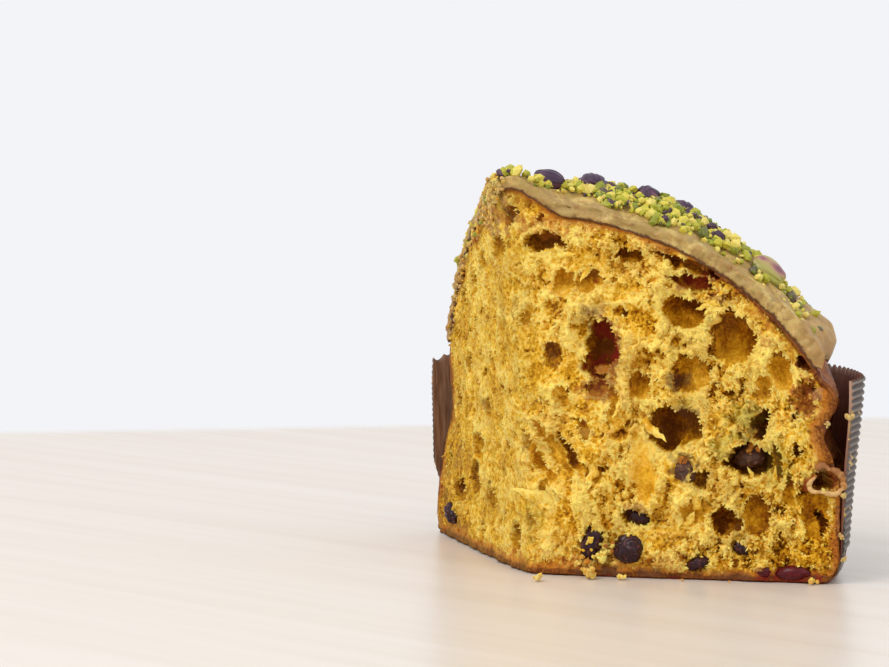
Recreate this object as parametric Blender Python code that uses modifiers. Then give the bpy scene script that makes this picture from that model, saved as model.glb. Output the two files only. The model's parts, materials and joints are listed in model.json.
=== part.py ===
"""A third of a low panettone: torn crumb, pistachio icing and its fluted paper case.

The loaf is baked round, iced, and then cut from its rim to its middle along two faces.
So it is modelled round first. One torn "knife" block then cuts the crumb, and smoother
blocks cut the icing and the paper. Everything is worked out about the loaf's own axis,
and the empty at the end sets the piece on its box's bottom centre.
"""

import math
import random

import bmesh
import bpy
from mathutils import Matrix, Vector, noise

MM = 0.001

# The cut: where the loaf's axis lies in the finished part, and the two faces about +Y.
AXIS = Vector((2.62 * MM, -52.73 * MM, 0.0))
MIDDLE_DEG = 90.0
HALF_ANGLE_DEG = 59.0
TIP_ROUNDING = 6 * MM
TIP_LEAN = 9.5 * MM
TIP_LEAN_REACH = 40 * MM
LEFT_WAIST = 2.6 * MM
LEFT_WAIST_Z = 78 * MM
LEFT_WAIST_SPAN = 22 * MM

# The paper case.
PAPER_FLOOR_THICKNESS = 0.9 * MM
PAPER_WALL_THICKNESS = 0.7 * MM
PAPER_BASE_RADIUS = 103.1 * MM
PAPER_FLARE = 5.0 * MM
PAPER_HEIGHT = 65 * MM
PAPER_CORNER = 6 * MM
PAPER_INSIDE_RINGS = (0.35, 0.55, 0.75, 1.0)
FLUTE_PITCH = 2.2 * MM
FLUTE_DEPTH = 0.8 * MM
PAPER_FLAP_DEG = 1.6
PAPER_FLAP_SLOPE_Z = 55 * MM

# The freed end of the paper hugs the bread at the right cut, and its rim sways out behind.
HUG_LOW = 1.4 * MM
HUG_RISE = 4.2 * MM
HUG_SPAN_DEG = 8.0
SWAY_OUT = 2.6 * MM
SWAY_AT_DEG = 33.0
SWAY_SPAN_DEG = 16.0

# The loaf.
CRUMB_GAP = 0.35 * MM
SHOULDER_Z = 60 * MM
DOME_RADIUS = 100 * MM
DOME_RISE = 65.5 * MM
DOME_POWER = 1.3
LOOSE_CRUST_Z = 34 * MM
LOOSE_CRUST_FADE = 10 * MM
LOOSE_CRUST_SHARE = 0.3
DOME_STEPS = 14
LOAF_STEPS = 48

# The crust's side below the shoulder: height, and how far it stands in from the paper, in mm.
CRUST_SIDE = ((53, 5.8), (46, 4.6), (39, 2.0), (33, 0.45), (22, 0.45), (12, 0.45))

# How the knife pressed the dome down: side, depth, and where along the face it starts
# and is full. It fades out behind the face, and towards the shoulder.
PRESS_REACH = 14 * MM
PRESS_RIGHT = 8.5 * MM
PRESS_LEFT = 3.0 * MM
PRESSES = (
    (1, PRESS_RIGHT, -6 * MM, 14 * MM),
    (-1, PRESS_LEFT, 8 * MM, 30 * MM),
)
PRESS_FADE = 14 * MM

# The icing.
ICING_THICKNESS = 3.8 * MM
ICING_SINK = 3 * MM
ICING_EDGE_DEG = 78.0
ICING_DRIP_DEG = 3.2
ICING_SHORT_DEG = 4.5
ICING_SHORT_SPAN_DEG = 10.0
ICING_BEAD = 0.6
ICING_BEAD_AT = 0.93
ICING_BEAD_SPAN = 0.09
ICING_EDGE_ROUND = 0.06
ICING_RING_CROWDING = 1.6
ICING_PROUD = 0.6 * MM
ICING_TIP_ROUNDING = 3.3 * MM
ICING_RIPPLE = 0.7 * MM
ICING_RIPPLE_SCALE = 7 * MM
ICING_SECTORS = 60
ICING_RINGS = 10

# The torn crumb.
TEAR_COLUMNS = 150
TEAR_ROWS = 94
TEAR_KEEP = 0.127
TEAR_HALF_WIDTH = 116 * MM
TEAR_TOP = 142 * MM
TEAR_FOOT = -3 * MM
TEAR_BACK = 150 * MM
CRAG_HEIGHT = 1.6 * MM
CRAG_SCALE = 8 * MM
PIT_SPACING = 7.5 * MM
PIT_DEPTH = 3.2 * MM
PIT_REACH = 0.62
HOLLOW_WANDER = 0.9 * MM
WANDER_SHIFT = Vector((5.2, 1.3, 8.7))
HOLLOW_SPREAD = 1.12
HOLLOW_ROUNDNESS = 0.6
SKIN_MARGIN = 6 * MM
SKIN_CALM = 0.12

# Hollows on the right face: along the face from the axis, height, half width, half height,
# depth, all in mm, and tilt in degrees.
RIGHT_HOLLOWS = (
    (5.8, 108.2, 6.2, 3.2, 9.0, 4),
    (33.1, 103.4, 4.0, 2.8, 5.0, -8),
    (56.5, 101.0, 12.5, 1.8, 5.5, -17),
    (54.8, 94.9, 8.2, 3.9, 6.5, -18),
    (51.3, 86.0, 7.4, 5.4, 8.0, -22),
    (66.5, 77.0, 7.2, 9.2, 9.0, 18),
    (24.3, 76.5, 5.0, 9.8, 12.0, 0),
    (23.5, 62.5, 4.4, 4.4, 4.5, 0),
    (35.9, 60.4, 4.4, 5.4, 5.5, 10),
    (54.5, 66.0, 6.6, 7.0, 8.5, 8),
    (49.0, 47.5, 9.2, 9.4, 11.0, 0),
    (73.0, 38.8, 7.2, 5.6, 10.0, -12),
    (76.3, 51.0, 1.9, 5.6, 7.0, -14),
    (39.0, 38.5, 4.2, 13.5, 4.0, 4),
    (65.3, 19.0, 5.2, 5.4, 8.5, 0),
    (73.8, 23.4, 4.6, 4.8, 5.0, 0),
    (36.5, 20.4, 5.2, 3.6, 6.5, 0),
    (12.6, 95.3, 3.9, 4.0, 4.0, 0),
    (19.6, 96.5, 3.9, 4.0, 4.0, 0),
    (6.0, 39.0, 3.2, 13.0, 4.0, -36),
    (94.0, 22.0, 2.6, 9.5, 4.5, 14),
    (86.0, 54.0, 3.4, 5.0, 4.0, 0),
    (8.5, 70.0, 3.4, 6.0, 3.0, 0),
    (82.0, 66.0, 3.8, 6.5, 4.0, 20),
)
SIDE_HOLLOWS = 26
SIDE_SEED = 11
SIDE_SPACING = 11.5 * MM

# Fruit and nuts that show in the cut: name, side, along the face, height, how far its
# middle stands out of the face, half sizes along, out and up, all in mm, and tilt.
FRUIT = (
    ("raisin_round", 1, 33.6, 9.3, 0.4, 4.2, 3.8, 4.4, 0),
    ("raisin_long", 1, 21.6, 11.0, -0.4, 3.6, 3.4, 6.4, 12),
    ("raisin_upper", 1, 36.6, 19.6, -3.6, 4.4, 3.0, 2.8, 20),
    ("raisin_flat", 1, 56.4, 5.4, -0.6, 4.0, 2.8, 2.1, -24),
    ("raisin_small", 1, 70.6, 10.9, -0.8, 3.1, 2.4, 2.5, 0),
    ("raisin_cave", 1, 72.0, 39.4, -6.2, 5.0, 3.6, 3.9, -10),
    ("raisin_lump", 1, 51.6, 34.6, -1.6, 4.0, 3.4, 4.0, 20),
    ("cherry_strip", 1, 86.6, 3.7, -0.6, 5.6, 2.6, 2.1, -4),
    ("cherry_dot", 1, 77.6, 3.8, -0.6, 2.4, 2.2, 2.0, 0),
    ("raisin_side_low", -1, 85.0, 9.0, -0.6, 4.2, 3.2, 3.6, 30),
)
SOCKET_GAP = 0.45 * MM
FRUIT_WRINKLE = 0.22

# Whole pistachio kernels on the icing: name, direction from the axis, distance from it,
# turn about the icing's own upright, length, all in mm and degrees.
KERNELS = (
    ("kernel_tip", 99.0, 13.5, -62.0, 12.5),
    ("kernel_ridge", 78.0, 27.0, 66.0, 12.0),
    ("kernel_shoulder", 66.0, 43.0, 30.0, 11.0),
    ("kernel_right_low", 41.5, 79.5, -8.0, 15.0),
    ("kernel_mid", 62.0, 57.0, 75.0, 11.5),
    ("kernel_back", 94.0, 74.0, 15.0, 14.0),
    ("kernel_left", 120.0, 40.0, -35.0, 13.0),
    ("kernel_left_low", 133.0, 77.0, 64.0, 14.0),
    ("kernel_behind", 99.0, 47.0, 80.0, 12.0),
)
KERNEL_WIDTH = 8.0 * MM
KERNEL_HEIGHT = 6.6 * MM
KERNEL_SUNK = 1.3 * MM
KERNEL_WRINKLE = 0.12

# Chopped pistachio, fused to the icing.
CHIPS = 60
CHIP_SEED = 5
CHIP_LONG = 2.2 * MM
CHIP_WIDE = 1.45 * MM
CHIP_FROM_KERNEL = 9.5 * MM
CHIP_SPACING = 6.1 * MM
CHIP_FROM_CUT = 4.5 * MM
CHIP_NEAREST = 8 * MM
CHIP_SPREAD = 78 * MM
CHIP_CROWDING = 0.75
CHIP_VARIETY = (0.85, 1.15)

# Edges shorter than this are merged after a cut.
SLIVER = 0.05 * MM

# Edges sharper than this stay sharp on the smooth pieces.
SMOOTH_DEG = 50


def start_empty():
    """Clear the file, and make one collection for the pieces and one for the cutters."""
    for old in list(bpy.data.objects):
        bpy.data.objects.remove(old)
    made = []
    for name in ("panettone", "cutters"):
        collection = bpy.data.collections.new(name)
        bpy.context.scene.collection.children.link(collection)
        made.append(collection)
    return made


def finish(name, colour, roughness):
    """A Principled material."""
    material = bpy.data.materials.new(name)
    material.use_nodes = True
    shader = material.node_tree.nodes["Principled BSDF"]
    shader.inputs["Base Color"].default_value = (*colour, 1.0)
    shader.inputs["Roughness"].default_value = roughness
    return material


def put(name, mesh, collection, material=None):
    """A new object of a mesh, in a collection."""
    piece = bpy.data.objects.new(name, mesh)
    collection.objects.link(piece)
    if material:
        mesh.materials.append(material)
    return piece


def as_cutter(piece):
    """A cutter shows as a wire and is never built."""
    piece.hide_render = True
    piece.display_type = "WIRE"
    return piece


def mesh_from(name, work):
    """A mesh of a bmesh, which is then freed."""
    mesh = bpy.data.meshes.new(name)
    work.to_mesh(mesh)
    work.free()
    return mesh


def split_faces(mesh):
    """Split every face into triangles: a Boolean is only exact on flat faces."""
    work = bmesh.new()
    work.from_mesh(mesh)
    bmesh.ops.triangulate(work, faces=work.faces[:])
    work.to_mesh(mesh)
    work.free()


def settled(piece, collection):
    """The piece as its modifiers show it, as a plain mesh of triangles of the same name."""
    bpy.context.view_layer.update()
    graph = bpy.context.evaluated_depsgraph_get()
    mesh = bpy.data.meshes.new_from_object(piece.evaluated_get(graph))
    split_faces(mesh)
    name, materials = piece.name, list(piece.data.materials)
    bpy.data.objects.remove(piece)
    mesh.materials.clear()
    for material in materials:
        mesh.materials.append(material)
    made = bpy.data.objects.new(name, mesh)
    collection.objects.link(made)
    return made


def cut(piece, cutter, operation):
    """A live Boolean with one object or one collection."""
    modifier = piece.modifiers.new(operation.lower(), "BOOLEAN")
    modifier.operation = operation
    modifier.solver = "EXACT"
    if isinstance(cutter, bpy.types.Collection):
        modifier.operand_type = "COLLECTION"
        modifier.collection = cutter
    else:
        modifier.object = cutter


def clean_cut(piece):
    """Keep the largest connected body of a cut piece, and merge the slivers that a cut leaves."""
    work = bmesh.new()
    work.from_mesh(piece.data)
    bodies, seen = [], set()
    for start in work.verts:
        if start in seen:
            continue
        body, waiting = set(), [start]
        while waiting:
            vert = waiting.pop()
            if vert in body:
                continue
            body.add(vert)
            waiting.extend(edge.other_vert(vert) for edge in vert.link_edges)
        seen |= body
        bodies.append(body)
    keep = max(bodies, key=len)
    bmesh.ops.delete(work, geom=[v for v in work.verts if v not in keep], context="VERTS")
    bmesh.ops.remove_doubles(work, verts=work.verts[:], dist=SLIVER)
    bmesh.ops.dissolve_degenerate(work, edges=work.edges[:], dist=SLIVER)
    bmesh.ops.triangulate(work, faces=work.faces[:])
    work.to_mesh(piece.data)
    work.free()


def turned(name, profile, steps, collection):
    """A profile of (radius, height) pairs turned once round the axis by a Screw."""
    work = bmesh.new()
    verts = [work.verts.new((radius, 0.0, height)) for radius, height in profile]
    for first, second in zip(verts, verts[1:]):
        work.edges.new((first, second))
    piece = put(name, mesh_from(name, work), collection)
    screw = piece.modifiers.new("turn", "SCREW")
    screw.steps = screw.render_steps = steps
    screw.use_merge_vertices = True
    screw.merge_threshold = 0.02 * MM
    return piece


def paper_inner_radius(height):
    """The inside of the paper wall: it flares from the floor to the rim."""
    return PAPER_BASE_RADIUS + PAPER_FLARE * height / PAPER_HEIGHT


def paper_sway(point):
    """How far the wall stands out of its round (minus: in), by direction and height."""
    rise = min(max(point.z / PAPER_HEIGHT, 0.0), 1.0)
    past_cut = math.degrees(math.atan2(point.y, point.x)) - (MIDDLE_DEG - HALF_ANGLE_DEG)
    hug = (HUG_LOW + HUG_RISE * rise) * math.exp(-((past_cut / HUG_SPAN_DEG) ** 2))
    sway = SWAY_OUT * rise**2 * math.exp(-(((past_cut - SWAY_AT_DEG) / SWAY_SPAN_DEG) ** 2))
    return sway - hug


def swayed(point, share=1.0):
    """A point of the wall or of the crust behind it, moved in or out with the paper."""
    level = Vector((point.x, point.y, 0.0))
    if level.length < PAPER_BASE_RADIUS / 2:
        return point
    near_wall = smooth_step(level.length, 0.85 * PAPER_BASE_RADIUS, 0.96 * PAPER_BASE_RADIUS)
    return point + level.normalized() * (paper_sway(point) * share * near_wall)


def face_direction(side):
    """Unit vector along a cut face from the axis: side 1 is the right face, -1 the left."""
    angle = math.radians(MIDDLE_DEG - side * HALF_ANGLE_DEG)
    return Vector((math.cos(angle), math.sin(angle), 0.0))


def face_outward(side):
    """Unit vector out of a cut face, away from the bread."""
    along = face_direction(side)
    return Vector((side * along.y, -side * along.x, 0.0))


def plan_point(along, rounding=TIP_ROUNDING, extra_deg=0.0):
    """The cut's line seen from above: two straight faces that meet in a rounded tip."""
    half = math.radians(HALF_ANGLE_DEG + (extra_deg if along < 0 else 0.0))
    return Vector(
        (along * math.sin(half), math.hypot(along, rounding) * math.cos(half), 0.0)
    )


def plan_outward(along, rounding=TIP_ROUNDING):
    """The direction out of the cut at a place on its line, turning smoothly at the tip."""
    share = along / math.hypot(along, rounding * 1.5)
    right, left = face_outward(1), face_outward(-1)
    return (right * (1 + share) + left * (1 - share)).normalized()


def smooth_step(value, low, high):
    """0 below low, 1 above high, with an S-shaped rise between."""
    share = min(max((value - low) / (high - low), 0.0), 1.0)
    return share * share * (3 - 2 * share)


def dome_height(radius):
    """Height of the bread's top above the case's floor, at a distance from the axis."""
    share = min(radius / DOME_RADIUS, 1.0)
    return SHOULDER_Z + DOME_RISE * math.sqrt(1 - share * share) ** DOME_POWER


def pressed(point):
    """How far the knife pressed the dome down, near each cut face."""
    total = 0.0
    for side, depth, start, full in PRESSES:
        behind = max(-point.dot(face_outward(side)), 0.0)
        along = point.dot(face_direction(side))
        near = math.exp(-((behind / PRESS_REACH) ** 2))
        total += depth * smooth_step(along, start, full) * near
    above = min(max((point.z - SHOULDER_Z) / PRESS_FADE, 0.0), 1.0)
    return min(total, PRESS_RIGHT) * above


def rounded_foot(outer, floor, corner, turns):
    """Points of a quarter circle from an upright wall down to a floor, at given turns."""
    points = []
    for turn in turns:
        swing = math.radians(turn)
        across = outer - corner + corner * math.cos(swing)
        points.append((across, floor + corner - corner * math.sin(swing)))
    return points


def loaf_profile():
    """Dome, shoulder, wall pressed to the paper low down, rounded corner and floor."""
    floor = PAPER_FLOOR_THICKNESS + CRUMB_GAP
    profile = []
    for step in range(DOME_STEPS):
        turn = math.radians(90 * step / DOME_STEPS)
        radius = DOME_RADIUS * math.sin(turn)
        profile.append((radius, dome_height(radius)))
    profile.append((DOME_RADIUS, SHOULDER_Z))
    for height, back in CRUST_SIDE:
        profile.append((paper_inner_radius(height * MM) - back * MM, height * MM))
    corner = PAPER_CORNER - CRUMB_GAP
    outer = paper_inner_radius(floor) - CRUMB_GAP
    profile += rounded_foot(outer, floor, corner, (0, 30, 60, 90))
    return profile + [(0.0, floor)]


def whole_loaf(name, raise_by, cutters):
    """The round loaf before it is cut, its dome pressed down where the knife will go."""
    loaf = settled(turned(name, loaf_profile(), LOAF_STEPS, cutters), cutters)
    for vert in loaf.data.vertices:
        loose = smooth_step(vert.co.z, LOOSE_CRUST_Z, LOOSE_CRUST_Z + LOOSE_CRUST_FADE)
        point = swayed(Vector(vert.co), 1 - (1 - LOOSE_CRUST_SHARE) * loose)
        vert.co = point
        if point.z > SHOULDER_Z - 8 * MM:
            level = Vector((point.x, point.y, 0.0))
            outward = Vector((0.0, 0.0, 1.0)) + level * (level.length / DOME_RADIUS**2)
            vert.co = point + outward.normalized() * raise_by
            vert.co.z -= pressed(point)
    return loaf


def hollow_list():
    """The named hollows of the right face and seeded ones of the left face, in metres."""
    found = []
    for along, height, wide, tall, depth, tilt in RIGHT_HOLLOWS:
        found.append((along * MM, height * MM, wide * MM, tall * MM, depth * MM, tilt))
    draw = random.Random(SIDE_SEED)
    while len(found) < len(RIGHT_HOLLOWS) + SIDE_HOLLOWS:
        along = -draw.uniform(9, 94) * MM
        height = draw.uniform(8, 112) * MM
        if height > dome_height(-along) - PRESS_LEFT - 10 * MM:
            continue
        crowded = any(
            math.hypot((along - a) * 1.3, height - h) < SIDE_SPACING for a, h, *_ in found
        )
        if crowded:
            continue
        wide = draw.uniform(3.0, 5.6) * MM
        tall = wide * draw.uniform(1.1, 2.1)
        found.append((along, height, wide, tall, wide * 1.5, draw.uniform(-25, 25)))
    return found


HOLLOWS = hollow_list()


def hollow_depth(along, height):
    """Depth below the face of the deepest hollow at a place: each is a round-bottomed bowl."""
    place = Vector((along, 0.9, height)) / CRAG_SCALE
    along += noise.noise(place) * HOLLOW_WANDER
    height += noise.noise(place + WANDER_SHIFT) * HOLLOW_WANDER
    deepest = 0.0
    for middle, level, wide, tall, depth, tilt in HOLLOWS:
        turn = math.radians(tilt)
        right = along - middle
        up = height - level
        across = (right * math.cos(turn) + up * math.sin(turn)) / (wide * HOLLOW_SPREAD)
        upright = (up * math.cos(turn) - right * math.sin(turn)) / (tall * HOLLOW_SPREAD)
        far = across * across + upright * upright
        if far < 1:
            deepest = max(deepest, depth * (1 - far) ** HOLLOW_ROUNDNESS)
    return deepest


def pit_depth(along, height):
    """Depth of the small round bubbles that cover the crumb, one to each cell."""
    nearest = noise.voronoi(Vector((along, 0.5, height)) / PIT_SPACING)[0][0]
    return PIT_DEPTH * max(PIT_REACH - nearest, 0.0)


def relief(along, height):
    """How far the torn crumb stands out of its face (minus: in), calm near the crust."""
    place = Vector((along, 0.31, height)) / CRAG_SCALE
    crags = noise.fractal(place, 1.0, 2.1, 3) * CRAG_HEIGHT
    skin = min(
        dome_height(abs(along)) - 0.7 * PRESS_RIGHT - height,
        paper_inner_radius(height) - abs(along),
        height,
    )
    calm = min(max(skin / SKIN_MARGIN, SKIN_CALM), 1.0)
    return (crags - max(hollow_depth(along, height), pit_depth(along, height))) * calm


def tip_lean(along, height):
    """The tip leans out over its foot as it rises, and the left face has a slight waist."""
    rise = max(height, 0.0) / dome_height(0.0)
    reach = math.exp(-((along / TIP_LEAN_REACH) ** 2))
    lean = -face_direction(1) * TIP_LEAN * rise**1.5 * reach
    waist = math.exp(-(((height - LEFT_WAIST_Z) / LEFT_WAIST_SPAN) ** 2))
    share = smooth_step(-along, 30 * MM, DOME_RADIUS)
    return lean - face_outward(-1) * LEFT_WAIST * waist * share


def knife_block(name, cutters, shape, columns, rows, keep=1.0):
    """A solid that fills everything behind a cut. shape(along, height) is a point of it.

    A torn cut starts as a fine sheet and is thinned to a share of its faces, so that they
    gather where the crumb is rough.
    """
    work = bmesh.new()
    bmesh.ops.create_grid(work, x_segments=columns, y_segments=rows, size=1.0)
    for vert in work.verts:
        along = vert.co.x * TEAR_HALF_WIDTH
        height = TEAR_FOOT + (vert.co.y + 1) / 2 * (TEAR_TOP - TEAR_FOOT)
        vert.co = shape(along, height)
    sheet = put(name, mesh_from(name, work), cutters)
    thin = sheet.modifiers.new("thin", "DECIMATE")
    thin.ratio = keep
    sheet = settled(sheet, cutters)
    work = bmesh.new()
    work.from_mesh(sheet.data)
    bpy.data.objects.remove(sheet)
    made = bmesh.ops.extrude_face_region(work, geom=work.faces[:], use_keep_orig=True)
    for item in made["geom"]:
        if isinstance(item, bmesh.types.BMVert):
            item.co.y = TEAR_BACK
    bmesh.ops.recalc_face_normals(work, faces=work.faces[:])
    bmesh.ops.triangulate(work, faces=work.faces[:])
    return as_cutter(put(name, mesh_from(name, work), cutters))


def torn_point(along, height):
    """A point of the torn crumb."""
    return (
        plan_point(along)
        + tip_lean(along, height)
        + plan_outward(along) * relief(along, height)
        + Vector((0.0, 0.0, height))
    )


def icing_cut_point(along, height):
    """A point of the icing's own cut: it snaps a little proud of the crumb."""
    ripple = noise.noise(Vector((along, 0.7, height)) / ICING_RIPPLE_SCALE) * ICING_RIPPLE
    return (
        plan_point(along, ICING_TIP_ROUNDING)
        + tip_lean(along, height)
        + plan_outward(along) * (ICING_PROUD + ripple)
        + Vector((0.0, 0.0, height))
    )


def paper_cut_point(along, height):
    """A point of the paper's cut: its left end is a small flap with a sloping corner."""
    slope = smooth_step(height, PAPER_FLAP_SLOPE_Z, PAPER_HEIGHT + 2 * MM)
    flap = PAPER_FLAP_DEG * (1 - slope)
    return plan_point(along, TIP_ROUNDING, flap) + Vector((0.0, 0.0, height))


def on_face(side, along_mm, height_mm, out_mm):
    """A point near a cut face, from sizes in mm."""
    along = side * along_mm * MM
    height = height_mm * MM
    return (
        plan_point(along)
        + tip_lean(along, height)
        + plan_outward(along) * (out_mm * MM)
        + Vector((0.0, 0.0, height))
    )


def wrinkled_ball(name, shape, grow, collection):
    """A ball squeezed to three half sizes, a little wrinkled, turned by a frame."""
    half_sizes, place, frame, wrinkle, seed = shape
    work = bmesh.new()
    bmesh.ops.create_icosphere(work, subdivisions=2, radius=1.0)
    for vert in work.verts:
        swell = 1 + wrinkle * noise.noise(vert.co * 1.7 + Vector((seed, 0.0, 0.0)))
        reach = Vector(tuple(half * swell + grow for half in half_sizes))
        vert.co = Vector((vert.co.x * reach.x, vert.co.y * reach.y, vert.co.z * reach.z))
    work.transform(Matrix.Translation(place) @ frame.to_4x4())
    return put(name, mesh_from(name, work), collection)


def face_frame(side, tilt_deg):
    """Axes along, into and up a cut face, tilted in the face."""
    to_right = face_direction(side) * side
    frame = Matrix((to_right, -face_outward(side), Vector((0.0, 0.0, 1.0)))).transposed()
    return frame @ Matrix.Rotation(math.radians(tilt_deg), 3, "Y")


def add_fruit(pieces, sockets, skins):
    """Each raisin or cherry piece, and the slightly larger ball that hollows its socket."""
    for number, row in enumerate(FRUIT):
        name, side, along, height, out, half_x, half_y, half_z, tilt = row
        half_sizes = tuple(size * MM for size in (half_x, half_y, half_z))
        place = on_face(side, along, height, out)
        frame = face_frame(side, tilt)
        kind = skins["cherry"] if name.startswith("cherry") else skins["raisin"]
        shape = (half_sizes, place, frame, FRUIT_WRINKLE, number)
        wrinkled_ball(name, shape, 0.0, pieces).data.materials.append(kind)
        as_cutter(wrinkled_ball(name + "_socket", shape, SOCKET_GAP, sockets))


def build_bread(pieces, cutters, sockets, crumb):
    """The bread: the loaf cut by the torn block, with a socket for each piece of fruit."""
    bread = whole_loaf("bread", 0.0, pieces)
    bread.data.materials.append(crumb)
    block = knife_block("torn_block", cutters, torn_point, TEAR_COLUMNS, TEAR_ROWS, TEAR_KEEP)
    cut(bread, block, "INTERSECT")
    cut(bread, sockets, "DIFFERENCE")
    bread = settled(bread, pieces)
    clean_cut(bread)
    return bread


def icing_top(direction, radius, lift):
    """A point above the dome: straight up near the axis, outwards near the shoulder."""
    level = Vector((math.cos(direction), math.sin(direction), 0.0)) * radius
    base = level + Vector((0.0, 0.0, dome_height(radius)))
    outward = Vector((0.0, 0.0, 1.0)) + level * (radius / DOME_RADIUS**2)
    drop = Vector((0.0, 0.0, pressed(base)))
    return base + outward.normalized() * lift - drop


def icing_reach(direction):
    """How far down the dome the icing runs, as a turn: drips reach further."""
    turn = math.degrees(direction)
    waves = math.sin(math.radians(turn * 7)) + 0.7 * math.sin(math.radians(turn * 17 + 40))
    past_cut = turn - (MIDDLE_DEG - HALF_ANGLE_DEG)
    short = ICING_SHORT_DEG * math.exp(-((past_cut / ICING_SHORT_SPAN_DEG) ** 2))
    return math.radians(ICING_EDGE_DEG + ICING_DRIP_DEG * waves - short)


def icing_lift(share):
    """Thickness of the icing on its way down: a bead near the edge, then a rounded end."""
    bead = ICING_BEAD * math.exp(-(((share - ICING_BEAD_AT) / ICING_BEAD_SPAN) ** 2))
    edge = math.sqrt(min((1 - share) / ICING_EDGE_ROUND + 0.12, 1.0))
    return ICING_THICKNESS * (1 + bead) * edge


def build_icing(pieces, cutters, sockets, chips, glaze):
    """The icing: a thick skin over the dome that drips at its edge, with chips fused on.

    A flat disc is turned first. Its radius is the share of the way down the dome, and its
    height is 1 on top and 0 underneath. Then every point is moved to its place.
    """
    shares = [1 - (1 - ring / ICING_RINGS) ** ICING_RING_CROWDING for ring in range(ICING_RINGS + 1)]
    profile = [(share, 1.0) for share in shares] + [(share, 0.0) for share in reversed(shares)]
    icing = settled(turned("icing", profile, ICING_SECTORS, pieces), pieces)
    icing.data.materials.append(glaze)
    for vert in icing.data.vertices:
        direction = math.atan2(vert.co.y, vert.co.x)
        share = min(math.hypot(vert.co.x, vert.co.y), 1.0)
        radius = DOME_RADIUS * math.sin(icing_reach(direction) * share)
        lift = icing_lift(share) if vert.co.z > 0.5 else -ICING_SINK
        vert.co = icing_top(direction, radius, lift)
    cut(icing, as_cutter(whole_loaf("icing_bed", CRUMB_GAP, cutters)), "DIFFERENCE")
    cut(icing, knife_block("icing_block", cutters, icing_cut_point, 34, 8), "INTERSECT")
    cut(icing, sockets, "DIFFERENCE")
    icing = settled(icing, pieces)
    clean_cut(icing)
    cut(icing, chips, "UNION")
    icing = settled(icing, pieces)
    clean_cut(icing)
    for chip in list(chips.objects):
        bpy.data.objects.remove(chip)
    return icing


def kernel_frame(direction, radius, turn_deg):
    """Axes of a kernel that lies on the icing: its third axis is the icing's upright."""
    step = 1 * MM
    here = icing_top(direction, radius, ICING_THICKNESS)
    outwards = icing_top(direction, radius + step, ICING_THICKNESS) - here
    round_about = icing_top(direction + step / radius, radius, ICING_THICKNESS) - here
    upright = outwards.cross(round_about).normalized()
    along = outwards.normalized()
    across = upright.cross(along)
    frame = Matrix((along, across, upright)).transposed()
    return here, upright, frame @ Matrix.Rotation(math.radians(turn_deg), 3, "Z")


def add_kernels(pieces, sockets, nut):
    """Each whole kernel, and the larger ball that seats it in the icing."""
    places = []
    for number, (name, direction_deg, distance, turn, length) in enumerate(KERNELS):
        here, upright, frame = kernel_frame(math.radians(direction_deg), distance * MM, turn)
        half_sizes = (length * MM / 2, KERNEL_WIDTH / 2, KERNEL_HEIGHT / 2)
        place = here + upright * (KERNEL_HEIGHT / 2 - KERNEL_SUNK)
        shape = (half_sizes, place, frame, KERNEL_WRINKLE, len(FRUIT) + number)
        wrinkled_ball(name, shape, 0.0, pieces).data.materials.append(nut)
        as_cutter(wrinkled_ball(name + "_seat", shape, SOCKET_GAP, sockets))
        places.append(here)
    return places


def add_chips(chips, taken):
    """Chopped pistachio: seeded throws over the iced top, denser towards the middle."""
    draw = random.Random(CHIP_SEED)
    placed = []
    while len(placed) < CHIPS:
        direction = math.radians(MIDDLE_DEG + draw.uniform(-1, 1) * HALF_ANGLE_DEG)
        radius = CHIP_NEAREST + CHIP_SPREAD * draw.random() ** CHIP_CROWDING
        here, upright, frame = kernel_frame(direction, radius, draw.uniform(0, 180))
        edge_room = min(-here.dot(face_outward(side)) for side in (1, -1))
        clear = all((here - other).length > CHIP_FROM_KERNEL for other in taken)
        apart = all((here - other).length > CHIP_SPACING for other in placed)
        if edge_room < CHIP_FROM_CUT or not clear or not apart:
            continue
        long_half = CHIP_LONG * draw.uniform(*CHIP_VARIETY)
        wide_half = CHIP_WIDE * draw.uniform(*CHIP_VARIETY)
        work = bmesh.new()
        bmesh.ops.create_icosphere(work, subdivisions=1, radius=1.0)
        for vert in work.verts:
            reach = Vector((long_half, wide_half, wide_half)) * draw.uniform(*CHIP_VARIETY)
            vert.co = Vector((vert.co.x * reach.x, vert.co.y * reach.y, vert.co.z * reach.z))
        place = here + upright * wide_half / 2
        work.transform(Matrix.Translation(place) @ frame.to_4x4())
        put("chip", mesh_from("chip", work), chips)
        placed.append(here)


def paper_profile():
    """The case's section: flat floor, round corner, smooth inside and fluted outside."""
    inner_floor = paper_inner_radius(PAPER_FLOOR_THICKNESS)
    foot = rounded_foot(inner_floor, PAPER_FLOOR_THICKNESS, PAPER_CORNER, (90, 60, 30, 0))
    profile = [(0.0, PAPER_FLOOR_THICKNESS)] + foot
    for share in PAPER_INSIDE_RINGS:
        profile.append((paper_inner_radius(share * PAPER_HEIGHT), share * PAPER_HEIGHT))
    profile.append((paper_inner_radius(PAPER_HEIGHT) + PAPER_WALL_THICKNESS, PAPER_HEIGHT))
    for number in range(int((PAPER_HEIGHT - 1.5 * PAPER_CORNER) / FLUTE_PITCH)):
        crest = PAPER_HEIGHT - (number + 0.5) * FLUTE_PITCH
        valley = PAPER_HEIGHT - (number + 1.0) * FLUTE_PITCH
        valley_radius = paper_inner_radius(valley) + PAPER_WALL_THICKNESS
        profile.append((paper_inner_radius(crest) + PAPER_WALL_THICKNESS + FLUTE_DEPTH, crest))
        profile.append((valley_radius, valley))
    outer = paper_inner_radius(0.0) + PAPER_WALL_THICKNESS
    corner = PAPER_CORNER + PAPER_FLOOR_THICKNESS
    return profile + rounded_foot(outer, 0.0, corner, (10, 40, 65, 90)) + [(0.0, 0.0)]


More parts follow.
